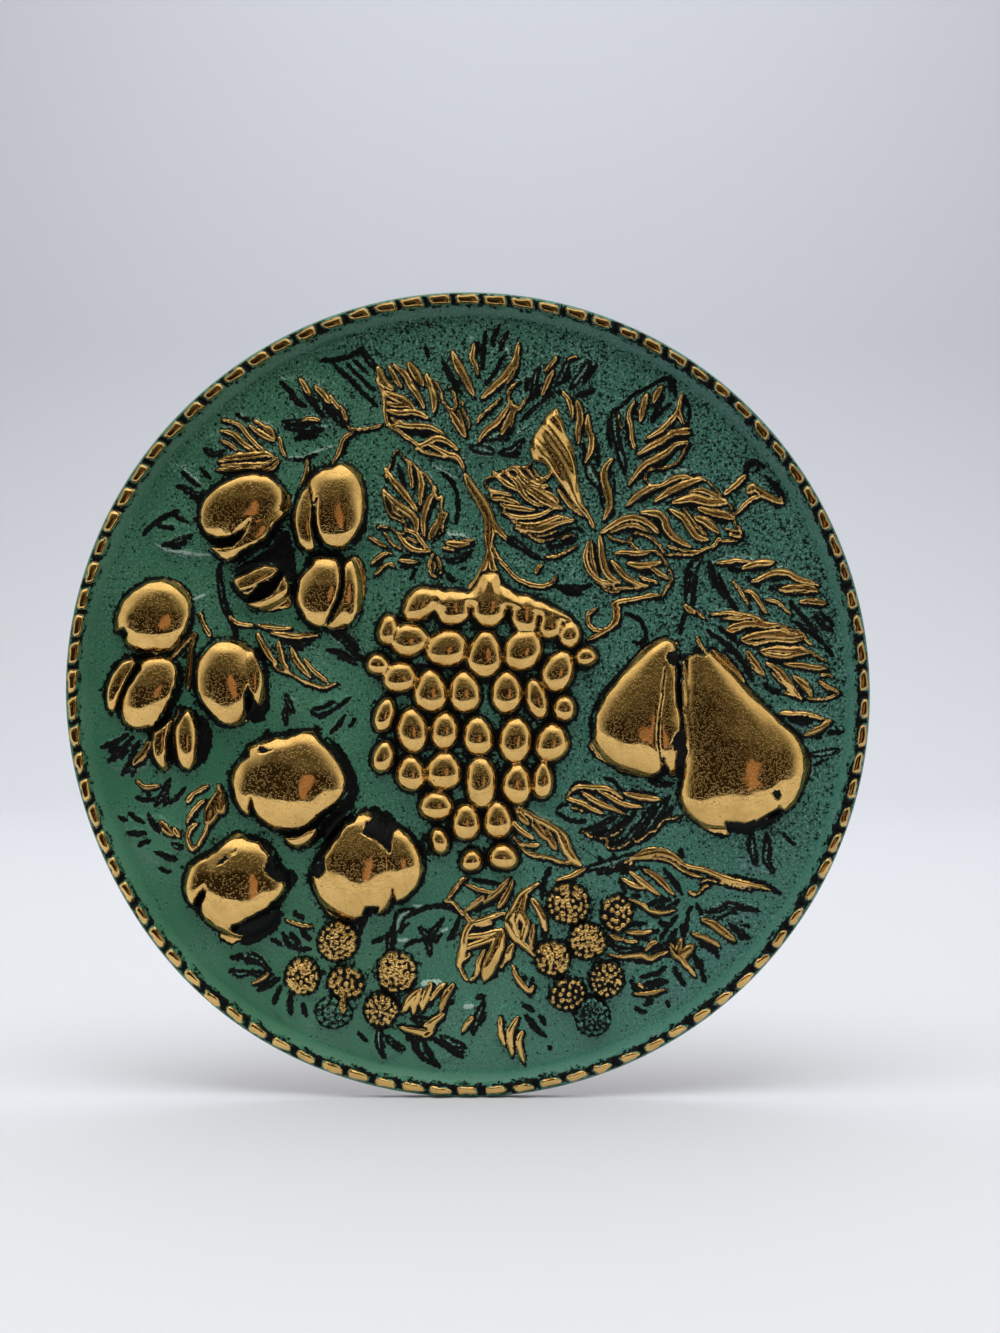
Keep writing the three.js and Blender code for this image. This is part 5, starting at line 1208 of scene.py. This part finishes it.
# %% [markdown]
# ## From grid to mesh
# A mesh with a vertex at every grid point would have two million faces. Instead a square net is bent into
# a disc, lifted to the heights, closed with a rolled lip and a back, and thinned with the Decimate
# modifier. Decimate keeps faces where the surface bends and drops them on the flat field. The back of a
# pressed sheet shows the front's relief hollow, so the back's heights are the front's, set one sheet
# thickness deeper and softened.

# %% Back of the sheet
SHEET = 0.8
PLATE_CENTRE_Z = -88.0
FIELD_Y = -6.0
FOOT_AREA = (20.0, 79.0, 97.0)  # half width, low and high edge of the flat the strap is soldered to
FOOT_SLOPE = 3  # width of the slope round that flat
SHRINK_STEPS = 5
BACK_SOFTENING = 0.6


def shrunk(values, steps):
    """Each point takes the lowest height within so many steps, which keeps steep walls thick enough."""
    result = values
    for axis in (0, 1):
        lowest = result.copy()
        for step in range(1, steps + 1):
            lowest = np.minimum(lowest, np.roll(result, step, axis))
            lowest = np.minimum(lowest, np.roll(result, -step, axis))
        result = lowest
    return result


back = blurred(shrunk(height, SHRINK_STEPS), BACK_SOFTENING)
flat_width, flat_low, flat_high = FOOT_AREA
edge_x = np.clip((flat_width + FOOT_SLOPE - np.abs(GRID_X)) / FOOT_SLOPE, 0, 1)
edge_low = np.clip((GRID_Y - flat_low + FOOT_SLOPE) / FOOT_SLOPE, 0, 1)
edge_high = np.clip((flat_high + FOOT_SLOPE - GRID_Y) / FOOT_SLOPE, 0, 1)
back = back * (1 - edge_x * (edge_low * edge_high) * (RADIUS < FIELD_RADIUS)) - SHEET
thickness = height - back
print("sheet", round(float(thickness[RADIUS < FIELD_RADIUS].min()), 2), "mm thick at the thinnest")

# %% Net of the plate
FRONT_DIVISIONS = 576
BACK_SHARE = 4
FRONT_EDGE = 101.45
LIP = [(101.6, 1.5), (101.6, -0.55), (101.4, -0.78), (101.15, -0.8), (100.9, -0.7)]  # radius, height
BACK_EDGE = 100.7
BACK_EDGE_HEIGHT = -0.5
# A knock has pushed the rim in here: its direction and spread in degrees, its depth in mm, and the
# radius from which it starts, with the width over which it grows.
KNOCK_ANGLE, KNOCK_SPREAD, KNOCK_DEPTH = 205, 14, 0.9
KNOCK_START, KNOCK_GROWTH = 84, 17


def net(divisions, edge):
    """A square net bent into a disc: its points, its quads and the walk round its border."""
    steps = np.linspace(-1, 1, divisions + 1)
    a, b = np.meshgrid(steps, steps)
    big = np.maximum(np.abs(a), np.abs(b))
    wide = np.abs(a) >= np.abs(b)
    safe_a, safe_b = np.where(a == 0, 1, a), np.where(b == 0, 1, b)
    turn = np.where(wide, np.pi / 4 * b / safe_a, np.pi / 2 - np.pi / 4 * a / safe_b)
    sign = np.where(wide, np.sign(a), np.sign(b))
    x, y = edge * big * sign * np.cos(turn), edge * big * sign * np.sin(turn)
    index = np.arange((divisions + 1) ** 2).reshape(divisions + 1, divisions + 1)
    quads = np.stack([index[:-1, :-1], index[:-1, 1:], index[1:, 1:], index[1:, :-1]], -1).reshape(-1, 4)
    border = np.concatenate([index[0, :-1], index[:-1, -1], index[-1, :0:-1], index[:0:-1, 0]])
    return np.stack([x.ravel(), y.ravel()], 1), quads, border


def sampled(values, points):
    """A grid layer read between its points."""
    place = np.clip((points + REACH) / PITCH, 0, COUNT - 1.001)
    first = place.astype(int)
    part = place - first
    i, j = first[:, 1], first[:, 0]
    u, v = part[:, 0], part[:, 1]
    low = values[i, j] * (1 - u) + values[i, j + 1] * u
    high = values[i + 1, j] * (1 - u) + values[i + 1, j + 1] * u
    return low * (1 - v) + high * v


front_xy, front_quads, front_border = net(FRONT_DIVISIONS, FRONT_EDGE)
back_xy, back_quads, back_border = net(FRONT_DIVISIONS // BACK_SHARE, BACK_EDGE)
front_d = sampled(height, front_xy)
back_d = sampled(back, back_xy)
back_d[back_border] = BACK_EDGE_HEIGHT
points = [np.column_stack([front_xy, front_d])]
faces = [front_quads.tolist()]
around = front_xy[front_border] / FRONT_EDGE
first = len(front_xy)
previous = front_border
for radius, level in LIP:
    points.append(np.column_stack([around * radius, np.full(len(around), level)]))
    ring = np.arange(first, first + len(around))
    faces.append(np.stack([np.roll(previous, -1), previous, ring, np.roll(ring, -1)], -1).tolist())
    previous = ring
    first += len(around)
points.append(np.column_stack([back_xy, back_d]))
faces.append((back_quads[:, ::-1] + first).tolist())
inner = back_border + first
fans = []
for k in range(len(inner)):
    outer = [int(previous[(k * BACK_SHARE + j) % len(previous)]) for j in range(BACK_SHARE + 1)]
    fans.append([int(inner[(k + 1) % len(inner)])] + outer[::-1] + [int(inner[k])])
faces.append(fans)
points = np.vstack(points)
print(len(points), "points before thinning")


def placed(plate_points):
    """Plate coordinates, with the knock in the rim, as metres in the frame."""
    x, y, d = plate_points.T
    radius = np.hypot(x, y)
    away = (np.degrees(np.arctan2(y, x)) - KNOCK_ANGLE + 180) % 360 - 180
    knock = KNOCK_DEPTH * np.exp(-0.5 * (away / KNOCK_SPREAD) ** 2)
    knock *= np.clip((radius - KNOCK_START) / KNOCK_GROWTH, 0, 1)
    scale = 1 - knock / np.maximum(radius, 1)
    return np.column_stack([x * scale, FIELD_Y - d, PLATE_CENTRE_Z + y * scale]) * MM


# %% Sheet object
FACE_BUDGET = 190_000
mesh = bpy.data.meshes.new("pressed_sheet")
mesh.from_pydata(points * MM, [], [face for group in faces for face in group])
mesh.validate()
sheet = bpy.data.objects.new("pressed_sheet", mesh)
scene.collection.objects.link(sheet)
bpy.context.view_layer.objects.active = sheet
triangles = sum(len(face) - 2 for group in faces for face in group)
thin = sheet.modifiers.new("thin", "DECIMATE")
thin.ratio = min(1.0, FACE_BUDGET / triangles)
thin.use_collapse_triangulate = True
bpy.ops.object.modifier_apply(modifier=thin.name)
mesh = sheet.data
print(triangles, "triangles thinned to", len(mesh.polygons))

# %% [markdown]
# Thinning moves vertices a little, so afterwards each vertex reads its finish from the fine grid again. It
# also reads its normal, the direction the surface faces, from the slope of the fine grid. A polished fruit
# then mirrors the room as smoothly as the full grid would.

# %% Finish and normals at each vertex
FRONT_TOLERANCE = 0.4  # a vertex this near the grid's height is on the front
FINE_NORMALS_EDGE = 101.0
flat = np.empty(len(mesh.vertices) * 3, np.float32)
mesh.vertices.foreach_get("co", flat)
plate = flat.reshape(-1, 3).astype(float) / MM
plate_xy = plate[:, :2]
plate_radius = np.hypot(*plate_xy.T)
from_grid = np.abs(plate[:, 2] - sampled(height, plate_xy))
on_front = (from_grid < FRONT_TOLERANCE) & (plate_radius < FRONT_EDGE + 0.05)
LAYERS = {"polish": polish, "dark": dark, "pale_rub_and_highlight": pale_rub_and_highlight, "brown": brown, "specks_and_shade": specks_and_shade}
for name, values in LAYERS.items():
    attribute = mesh.attributes.new(name, "FLOAT", "POINT")
    attribute.data.foreach_set("value", sampled(values, plate_xy).astype(np.float32))
slope_y, slope_x = np.gradient(height, PITCH)
own = np.empty(len(mesh.vertices) * 3, np.float32)
mesh.vertex_normals.foreach_get("vector", own)
normals = own.reshape(-1, 3).astype(float)
fine = np.column_stack([-sampled(slope_x, plate_xy), -sampled(slope_y, plate_xy), np.ones(len(plate))])
fine /= np.linalg.norm(fine, axis=1, keepdims=True)
use_fine = on_front & (plate_radius < FINE_NORMALS_EDGE)
normals[use_fine] = fine[use_fine]
normals = np.column_stack([normals[:, 0], -normals[:, 2], normals[:, 1]])
mesh.vertices.foreach_set("co", placed(plate).astype(np.float32).ravel())
mesh.update()
corner_test = placed(np.array([[0, 0, 0], [1, 0, 0], [0, 1, 0]]))
if np.cross(corner_test[1] - corner_test[0], corner_test[2] - corner_test[0])[1] > 0:
    mesh.flip_normals()
mesh.shade_smooth()
mesh.normals_split_custom_set_from_vertices(normals.tolist())
corner = np.empty(len(mesh.polygons), np.int32)
mesh.polygons.foreach_get("loop_start", corner)
vertex_of = np.empty(len(mesh.loops), np.int32)
mesh.loops.foreach_get("vertex_index", vertex_of)
front_face = on_front[vertex_of[corner]] & on_front[vertex_of[corner + 1]]
mesh.polygons.foreach_set("material_index", np.where(front_face, 0, 1).astype(np.int32))
print(int(front_face.sum()), "front faces,", int((~front_face).sum()), "on the lip and back")

# %% [markdown]
# ## Finishes
# Three finishes share the front: bare brass, the black patina under it all, and the green paint. They are
# blended in one material, because the borders between them are ragged and cross every leaf. The borders
# come from the distances stored on the mesh, roughened with noise.

# %% Colour and node helpers
def linear(code):
    """An sRGB hex colour as Blender's linear colour."""
    parts = [int(code[i:i + 2], 16) / 255 for i in (0, 2, 4)]
    return [p / 12.92 if p <= 0.04045 else ((p + 0.055) / 1.055) ** 2.4 for p in parts] + [1.0]


def node(tree, kind, inputs=None, out=0, **settings):
    """Adds a node with its settings and links, and gives back one of its outputs.

    Each input, named or numbered, takes a value or another node's output.
    """
    made = tree.nodes.new(kind)
    for name, value in settings.items():
        setattr(made, name, value)
    for key, value in (inputs or {}).items():
        if isinstance(value, bpy.types.NodeSocket):
            tree.links.new(value, made.inputs[key])
        else:
            made.inputs[key].default_value = value
    return made.outputs[out] if made.outputs else None


def new_material(name):
    """A material with an empty node tree, and that tree."""
    material = bpy.data.materials.new(name)
    material.use_nodes = True
    material.node_tree.nodes.clear()
    return material, material.node_tree


NOISE = "ShaderNodeTexNoise"
MATH = "ShaderNodeMath"
RANGE = "ShaderNodeMapRange"
MIX = "ShaderNodeMix"
ATTRIBUTE = "ShaderNodeAttribute"
BUMP = "ShaderNodeBump"
PRINCIPLED = "ShaderNodeBsdfPrincipled"
SURFACE = "ShaderNodeOutputMaterial"
SMOOTH = {"interpolation_type": "SMOOTHSTEP"}
TIMES = {"operation": "MULTIPLY"}
TIMES_PLUS = {"operation": "MULTIPLY_ADD"}
COLOURS = {"data_type": "RGBA", "clamp_factor": True, "out": 2}
NUMBERS = {"data_type": "FLOAT", "clamp_factor": True}
print("mid grey is", round(linear("808080")[0], 3), "in linear light")

# %% Painted and rubbed brass: masks
# Each grain is a random pattern on the real sheet: its size in mm, its detail and its roughness.
GRAINS = {
    "ragged": (0.9, 4.0, 0.65),  # the borders of all that was rubbed
    "pit": (0.7, 2.0, 0.6),  # pits in the metal that the rag missed
    "pit_zone": (6.0, 3.0, 0.5),  # where the metal is pitted
    "grit": (0.72, 2.0, 0.6),  # black specks where the wash was wiped off the paint
    "tone": (24.0, 2.0, 0.5),  # lighter and darker green
    "mottle": (0.6, 3.0, 0.6),  # dull and chalky paint
    "bloom": (0.8, 3.0, 0.7),  # a bluish bloom on the black
    "tarnish": (5.0, 4.0, 0.6),  # deeper yellow brass
    "dirt": (1.5, 5.0, 0.75),  # brown dirt on the brass
    "wear": (1.8, 4.0, 0.7),  # shinier and duller brass
    "hammered": (2.4, 1.0, 0.5),  # the unevenness that the die left
}
# Each border: how far it wanders, and from and to which distance, in mm, the finish comes in.
BORDERS = {"polish": (1.2, 0.02, 0.16), "dark": (1.8, -0.08, 0.10), "pale_rub_and_highlight": (1.0, -0.05, 0.20)}
PIT_BITE = -2.5
SPECK_COVER = 0.94

front_material, tree = new_material("painted_rubbed_brass")
place = node(tree, "ShaderNodeTexCoord", out="Object")
grain = {}
for name, (size, detail, rough) in GRAINS.items():
    settings = {"Vector": place, "Scale": 1 / (size * MM), "Detail": detail, "Roughness": rough}
    grain[name] = node(tree, NOISE, settings)
stored = {name: node(tree, ATTRIBUTE, out="Fac", attribute_name=name) for name in LAYERS}
ragged = node(tree, MATH, {0: grain["ragged"], 1: 0.5}, operation="SUBTRACT")
# Rubbing misses the pits in the metal, so in places small black specks stay.
pit = node(tree, RANGE, {0: grain["pit"], 1: 0.66, 2: 0.73}, **SMOOTH)
pit_zone = node(tree, RANGE, {0: grain["pit_zone"], 1: 0.54, 2: 0.66}, **SMOOTH)
pit = node(tree, MATH, {0: pit, 1: pit_zone}, **TIMES)
pitted = node(tree, MATH, {0: pit, 1: PIT_BITE, 2: stored["polish"]}, **TIMES_PLUS)
mask = {}
for name, (wander, start, end) in BORDERS.items():
    source = pitted if name == "polish" else stored[name]
    edge = node(tree, MATH, {0: ragged, 1: wander, 2: source}, **TIMES_PLUS)
    mask[name] = node(tree, RANGE, {0: edge, 1: start, 2: end}, **SMOOTH)
polished = mask["polish"]
# The black specks crowd together where they lie thick, toward the top and right, and round the relief as
# painted shade.
limit = node(tree, MATH, {0: stored["specks_and_shade"], 1: -0.175, 2: 0.71}, **TIMES_PLUS)
speck = node(tree, MATH, {0: grain["grit"], 1: limit}, operation="SUBTRACT")
speck = node(tree, RANGE, {0: speck, 1: -0.015, 2: 0.03}, **SMOOTH)
covered = node(tree, MATH, {0: speck, 1: SPECK_COVER}, **TIMES)
covered = node(tree, MATH, {0: mask["dark"], 1: covered}, operation="MAXIMUM")
print("masks take", len(tree.nodes), "nodes")

# %% Painted and rubbed brass: the green paint and the black
# A dull mid green that gives the ground its colour, with a cooler green to the right.
GREEN = linear("367355")
GREEN_PALE = linear("468163")
GREEN_COOL = linear("3B776B")
GREEN_DULL = linear("356155")
GREEN_CHALK = linear("82AFA2")
# Pale paint: worn edges, and painted highlights on crests.
PALE_PAINT_AND_HIGHLIGHT = linear("A8C4B6")
# The black under it all, which draws every outline.
PATINA = linear("050606")
PATINA_BLUE = linear("1A2322")
COOL_FROM, COOL_TO, COOLEST = -60 * MM, 60 * MM, 0.85

tone = node(tree, RANGE, {0: grain["tone"], 1: 0.3, 2: 0.7}, **SMOOTH)
# The paint is bluer toward the right, where less sun reached it.
across = node(tree, "ShaderNodeSeparateXYZ", {"Vector": place}, out="X")
cool = node(tree, RANGE, {0: across, 1: COOL_FROM, 2: COOL_TO, 4: COOLEST}, **SMOOTH)
coats = [(tone, GREEN_PALE), (cool, GREEN_COOL)]
# The dull and chalky mottle follows the same layer, so it is stronger where the specks paint shade round the
# relief.
for start, end, paint in ((0.50, 0.66, GREEN_DULL), (0.50, 0.36, GREEN_CHALK)):
    amount = node(tree, RANGE, {0: grain["mottle"], 1: start, 2: end}, **SMOOTH)
    coats.append((node(tree, MATH, {0: amount, 1: stored["specks_and_shade"]}, **TIMES), paint))
green = GREEN
for amount, paint in coats + [(mask["pale_rub_and_highlight"], PALE_PAINT_AND_HIGHLIGHT)]:
    green = node(tree, MIX, {0: amount, 6: green, 7: paint}, **COLOURS)
bloom = node(tree, RANGE, {0: grain["bloom"], 1: 0.52, 2: 0.72}, **SMOOTH)
black = node(tree, MIX, {0: bloom, 6: PATINA, 7: PATINA_BLUE}, **COLOURS)
coat = node(tree, MIX, {0: covered, 6: green, 7: black}, **COLOURS)
print(len(coats) + 1, "coats on the green")

# %% Painted and rubbed brass: the metal
# Yellow brass that mirrors the room, which makes each fruit read as round.
BRASS = linear("E6BC72")
BRASS_DEEP = linear("CFA862")
BRASS_BROWN = linear("86683C")
BROWN_SHARE = 0.55

tarnish = node(tree, RANGE, {0: grain["tarnish"], 1: 0.40, 2: 0.75}, **SMOOTH)
dirt = node(tree, RANGE, {0: grain["dirt"], 1: 0.56, 2: 0.80, 4: 0.5}, **SMOOTH)
# On the rim beads this brown is mostly a painted reflection of the dark room; on the brown ribs it is
# tarnish.
brown_tarnish_and_reflection = node(tree, MATH, {0: stored["brown"], 1: BROWN_SHARE}, **TIMES)
metal = BRASS
for amount, film in ((tarnish, BRASS_DEEP), (dirt, BRASS_BROWN), (brown_tarnish_and_reflection, BRASS_BROWN)):
    metal = node(tree, MIX, {0: amount, 6: metal, 7: film}, **COLOURS)
colour = node(tree, MIX, {0: polished, 6: coat, 7: metal}, **COLOURS)
print("brass is", [round(v, 3) for v in BRASS[:3]])

# %% Painted and rubbed brass: shine and skin
# The paint is satin, the black is nearly matt and the rubbed brass is close to a mirror.
PAINT_SHINE, BLACK_SHINE, BRASS_SHINE = (0.30, 0.42), 0.55, (0.06, 0.17)
PAINT_GLINT, BLACK_GLINT, BRASS_GLINT = 0.5, 0.15, 0.5
# How far each mark raises the skin, in twentieths of a millimetre: the black specks are pits in the paint,
# and the die left the metal slightly hammered.
MARKS = [(polished, -0.6), (speck, -0.5), (grain["hammered"], 0.3), (grain["wear"], 0.03)]
SKIN_UNIT = 0.05 * MM
ROUNDED = 4.5

sheen = {0: ragged, 1: -0.3, 2: 0.3, 3: PAINT_SHINE[0], 4: PAINT_SHINE[1]}
sheen = node(tree, RANGE, sheen, **SMOOTH)
coat_roughness = node(tree, MIX, {0: covered, 2: sheen, 3: BLACK_SHINE}, **NUMBERS)
metal_roughness = {0: grain["wear"], 1: 0.35, 2: 0.8, 3: BRASS_SHINE[0], 4: BRASS_SHINE[1]}
metal_roughness = node(tree, RANGE, metal_roughness, **SMOOTH)
roughness = node(tree, MIX, {0: polished, 2: coat_roughness, 3: metal_roughness}, **NUMBERS)
glint = node(tree, MIX, {0: covered, 2: PAINT_GLINT, 3: BLACK_GLINT}, **NUMBERS)
glint = node(tree, MIX, {0: polished, 2: glint, 3: BRASS_GLINT}, **NUMBERS)
# The rag rounded the edges of all that it rubbed, over about half a millimetre.
skin = node(tree, RANGE, {0: stored["polish"], 1: -0.05, 2: 0.40, 4: ROUNDED})
for amount, lift_by in MARKS:
    skin = node(tree, MATH, {0: amount, 1: lift_by, 2: skin}, **TIMES_PLUS)
relief = node(tree, BUMP, {"Strength": 0.8, "Distance": SKIN_UNIT, "Height": skin})
looks = {"Base Color": colour, "Metallic": polished, "Roughness": roughness, "Normal": relief,
         "Specular IOR Level": glint}
node(tree, SURFACE, {"Surface": node(tree, PRINCIPLED, looks)})
print("front material has", len(tree.nodes), "nodes")

# %% [markdown]
# The back was never painted or rubbed. It is the same brass, dull and brown with age, with darker blotches
# where moisture sat. The strap is a strip of the same metal, a little brighter and finely scratched.

# %% Bare brass of the back and the strap
OLD_BRASS = linear("9C7A3F")
OLD_BRASS_DARK = linear("5A4524")
OLD_BRASS_SPOT = linear("3A2E1C")
STRAP_BRASS = linear("B08A48")
BACK_CLOUDS, STRAP_CLOUDS = 18.0, 9.0  # size of the clouds of tarnish, in mm
OLD_GRAINS = {
    "cloud": (None, 5.0, 0.6),  # each piece has its own size of cloud
    "spots": (1.6, 4.0, 0.7),  # brown spots
    "wear": (2.5, 4.0, 0.5),  # shinier and duller metal
    "scrape": (5.0, 4.0, 0.6),  # fine scratches along the sheet
}


def old_brass(name, light, cloud_size):
    """Dull brass with clouds of tarnish, brown spots and fine scratches."""
    material, tree = new_material(name)
    place = node(tree, "ShaderNodeTexCoord", out="Object")
    squeezed = node(tree, "ShaderNodeMapping", {"Vector": place, "Scale": (1.0, 1.0, 14.0)})
    grain = {}
    for pattern, (size, detail, rough) in OLD_GRAINS.items():
        size = cloud_size if pattern == "cloud" else size
        start = squeezed if pattern == "scrape" else place
        settings = {"Vector": start, "Scale": 1 / (size * MM), "Detail": detail, "Roughness": rough}
        grain[pattern] = node(tree, NOISE, settings)
    cloud = node(tree, RANGE, {0: grain["cloud"], 1: 0.35, 2: 0.68}, **SMOOTH)
    spots = node(tree, RANGE, {0: grain["spots"], 1: 0.62, 2: 0.72, 4: 0.8}, **SMOOTH)
    metal = node(tree, MIX, {0: cloud, 6: light, 7: OLD_BRASS_DARK}, **COLOURS)
    metal = node(tree, MIX, {0: spots, 6: metal, 7: OLD_BRASS_SPOT}, **COLOURS)
    roughness = node(tree, RANGE, {0: grain["wear"], 1: 0.3, 2: 0.7, 3: 0.30, 4: 0.52}, **SMOOTH)
    relief = node(tree, BUMP, {"Strength": 0.5, "Distance": 0.03 * MM, "Height": grain["scrape"]})
    looks = {"Base Color": metal, "Metallic": 1.0, "Roughness": roughness, "Normal": relief}
    node(tree, SURFACE, {"Surface": node(tree, PRINCIPLED, looks)})
    return material


back_material = old_brass("aged_bare_brass", OLD_BRASS, BACK_CLOUDS)
strap_material = old_brass("aged_brass_strip", STRAP_BRASS, STRAP_CLOUDS)
for material in (front_material, back_material):
    mesh.materials.append(material)
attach(sheet, "root")
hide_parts("plaque")
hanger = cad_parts["hanger"]
hanger.data.materials.clear()
hanger.data.materials.append(strap_material)
print("the hanger keeps its CAD shape,", len(hanger.data.polygons), "faces")

# %% [markdown]
# ## Stage and light
# Polished brass shows little of itself: what the eye reads as shape is the room mirrored in it. So the
# room matters more than the lamps. White paper in front lights the underside of each fruit, a dark warm
# room behind the viewer gives the brown middles, and the lamps above are large, soft and white.

# %% Floor and backdrop
# All in metres. The paper lies on the table and curves up into a wall far behind the plate.
FLOOR_Z = (PLATE_CENTRE_Z - LIP[0][0]) * MM
SWEEP_FRONT = -0.215
TABLE_FRONT = -3.0
WALL_Y = 1.45
SWEEP_RADIUS = 0.45
HALF_WIDTH = 3.0
WALL_TOP = 2.2
# Plain matt paper, which keeps the eye on the plate.
paper_material, tree = new_material("white_paper")
paper_looks = {"Base Color": linear("CDD1DB"), "Roughness": 0.8}
node(tree, SURFACE, {"Surface": node(tree, PRINCIPLED, paper_looks)})


def lay_paper(name, profile):
    """A wide sheet of paper with one profile, given as y and z in metres."""
    vertices = [(x, y, z) for y, z in profile for x in (-HALF_WIDTH, HALF_WIDTH)]
    faces = [(2 * i, 2 * i + 1, 2 * i + 3, 2 * i + 2) for i in range(len(profile) - 1)]
    paper = bpy.data.meshes.new(name)
    paper.from_pydata(vertices, [], faces)
    paper.shade_smooth()
    paper.materials.append(paper_material)
    made = bpy.data.objects.new(name, paper)
    scene.collection.objects.link(made)
    return made


turns = np.linspace(0, np.pi / 2, 25)
curve = [(WALL_Y - SWEEP_RADIUS + SWEEP_RADIUS * np.sin(turn),
          FLOOR_Z + SWEEP_RADIUS * (1 - np.cos(turn))) for turn in turns]
lay_paper("paper_sweep", [(SWEEP_FRONT, FLOOR_Z)] + curve + [(WALL_Y, WALL_TOP)])
# The table runs on towards the viewer, but the metal mirrors the room there, as it does at home.
table_top = lay_paper("table_top", [(TABLE_FRONT, FLOOR_Z), (SWEEP_FRONT, FLOOR_Z)])
table_top.visible_glossy = False
table_top.visible_diffuse = False
print("floor at", round(FLOOR_Z, 4), "m")

# %% Room around the plate
ROOM_TOP = [1.7 * value for value in linear("F4F0E8")]  # a white ceiling, lit
ROOM_SIDE = [1.5 * value for value in linear("C8C6C0")]  # pale walls at the sides
ROOM_HIGH = linear("5A584F")  # the room behind the viewer
ROOM_DARK = linear("2C2620")  # its lower part
ROOM_WARM = linear("B08A78")
ROOM_SEEN = linear("DCDDDF")
# Where the warm thing stands, as parts of a direction: its middle and half its size.
WARM_ACROSS = (0.20, 0.13)
WARM_UP = (-0.10, 0.20)
world = bpy.data.worlds.new("studio")
scene.world = world
world.use_nodes = True
tree = world.node_tree
tree.nodes.clear()
direction = node(tree, "ShaderNodeTexCoord", out="Generated")
along = {axis: node(tree, "ShaderNodeSeparateXYZ", {"Vector": direction}, out=axis) for axis in "XYZ"}
before = node(tree, RANGE, {0: along["Y"], 1: -0.30, 2: -0.85}, **SMOOTH)
low = node(tree, RANGE, {0: along["Z"], 1: 0.32, 2: 0.05}, **SMOOTH)
low = node(tree, MATH, {0: low, 1: before}, **TIMES)
# Something warm, lit and irregular stands low to the right of the viewer.
squares = []
for axis, (middle, half) in {"X": WARM_ACROSS, "Z": WARM_UP}.items():
    off = node(tree, MATH, {0: along[axis], 1: 1 / half, 2: -middle / half}, **TIMES_PLUS)
    squares.append(node(tree, MATH, {0: off, 1: 2.0}, operation="POWER"))
apart = node(tree, MATH, {0: squares[0], 1: squares[1]}, operation="ADD")
apart = node(tree, MATH, {0: apart}, operation="SQRT")
wobble = node(tree, NOISE, {"Vector": direction, "Scale": 9.0, "Detail": 5.0, "Roughness": 0.7})
apart = node(tree, MATH, {0: wobble, 1: 2.2, 2: apart}, **TIMES_PLUS)
warm = node(tree, RANGE, {0: apart, 1: 2.15, 2: 1.95}, **SMOOTH)
warm = node(tree, MATH, {0: warm, 1: before}, **TIMES)
high = node(tree, RANGE, {0: along["Z"], 1: 0.66, 2: 0.92}, **SMOOTH)
colour = ROOM_SIDE
for amount, part_of_room in ((before, ROOM_HIGH), (low, ROOM_DARK), (warm, ROOM_WARM), (high, ROOM_TOP)):
    colour = node(tree, MIX, {0: amount, 6: colour, 7: part_of_room}, **COLOURS)
background = node(tree, "ShaderNodeBackground", {"Color": colour, "Strength": 1.0})
# The room is only there to be mirrored, so behind the table the viewer sees plain pale grey.
plain_grey = node(tree, "ShaderNodeBackground", {"Color": ROOM_SEEN, "Strength": 1.0})
seen_directly = node(tree, "ShaderNodeLightPath", out="Is Camera Ray")
background = node(tree, "ShaderNodeMixShader", {0: seen_directly, 1: background, 2: plain_grey})
node(tree, "ShaderNodeOutputWorld", {"Surface": background})


def softbox(name, place, target, size, power, tint):
    """A soft rectangular light, which neither shows nor is mirrored."""
    light = bpy.data.lights.new(name, "AREA")
    light.shape = "RECTANGLE"
    light.size, light.size_y = size
    light.energy = power
    light.color = linear(tint)[:3]
    made = bpy.data.objects.new(name, light)
    made.location = place
    made.rotation_euler = (Vector(target) - Vector(place)).to_track_quat("-Z", "Y").to_euler()
    made.visible_glossy = False
    made.visible_camera = False
    scene.collection.objects.link(made)


PLATE_MIDDLE = (0.0, 0.0, PLATE_CENTRE_Z * MM)
softbox("overhead", (-0.1, -0.35, 1.1), PLATE_MIDDLE, (1.2, 0.8), 9.5, "FFFDF8")
softbox("backdrop", (0.05, WALL_Y - 0.75, 0.95), (0.05, WALL_Y, 0.15), (1.0, 0.6), 5.2, "FFFFFF")
scene.view_settings.view_transform = "Standard"
print("lights set")

# %% [markdown]
# ## Camera
# The camera stands level in front of the plate, a little right of and above its middle, half a metre away.

# %% Camera
RIM_Y = FIELD_Y - RIM_RISE
EYE_ACROSS, EYE_AWAY, EYE_UP = 8.2, 467.0, 7.1  # from the middle of the rim, in mm
EYE = (EYE_ACROSS * MM, (RIM_Y - EYE_AWAY) * MM, (PLATE_CENTRE_Z + EYE_UP) * MM)
camera_data = bpy.data.cameras.new("camera")
camera_data.lens = 50
camera_data.sensor_fit = "HORIZONTAL"
camera_data.sensor_width = 27.0
camera_data.clip_start = 0.01
camera = bpy.data.objects.new("camera", camera_data)
camera.location = EYE
camera.rotation_euler = (np.pi / 2, 0.0, 0.0)
scene.collection.objects.link(camera)
scene.camera = camera
print("camera at", [round(v, 3) for v in EYE])
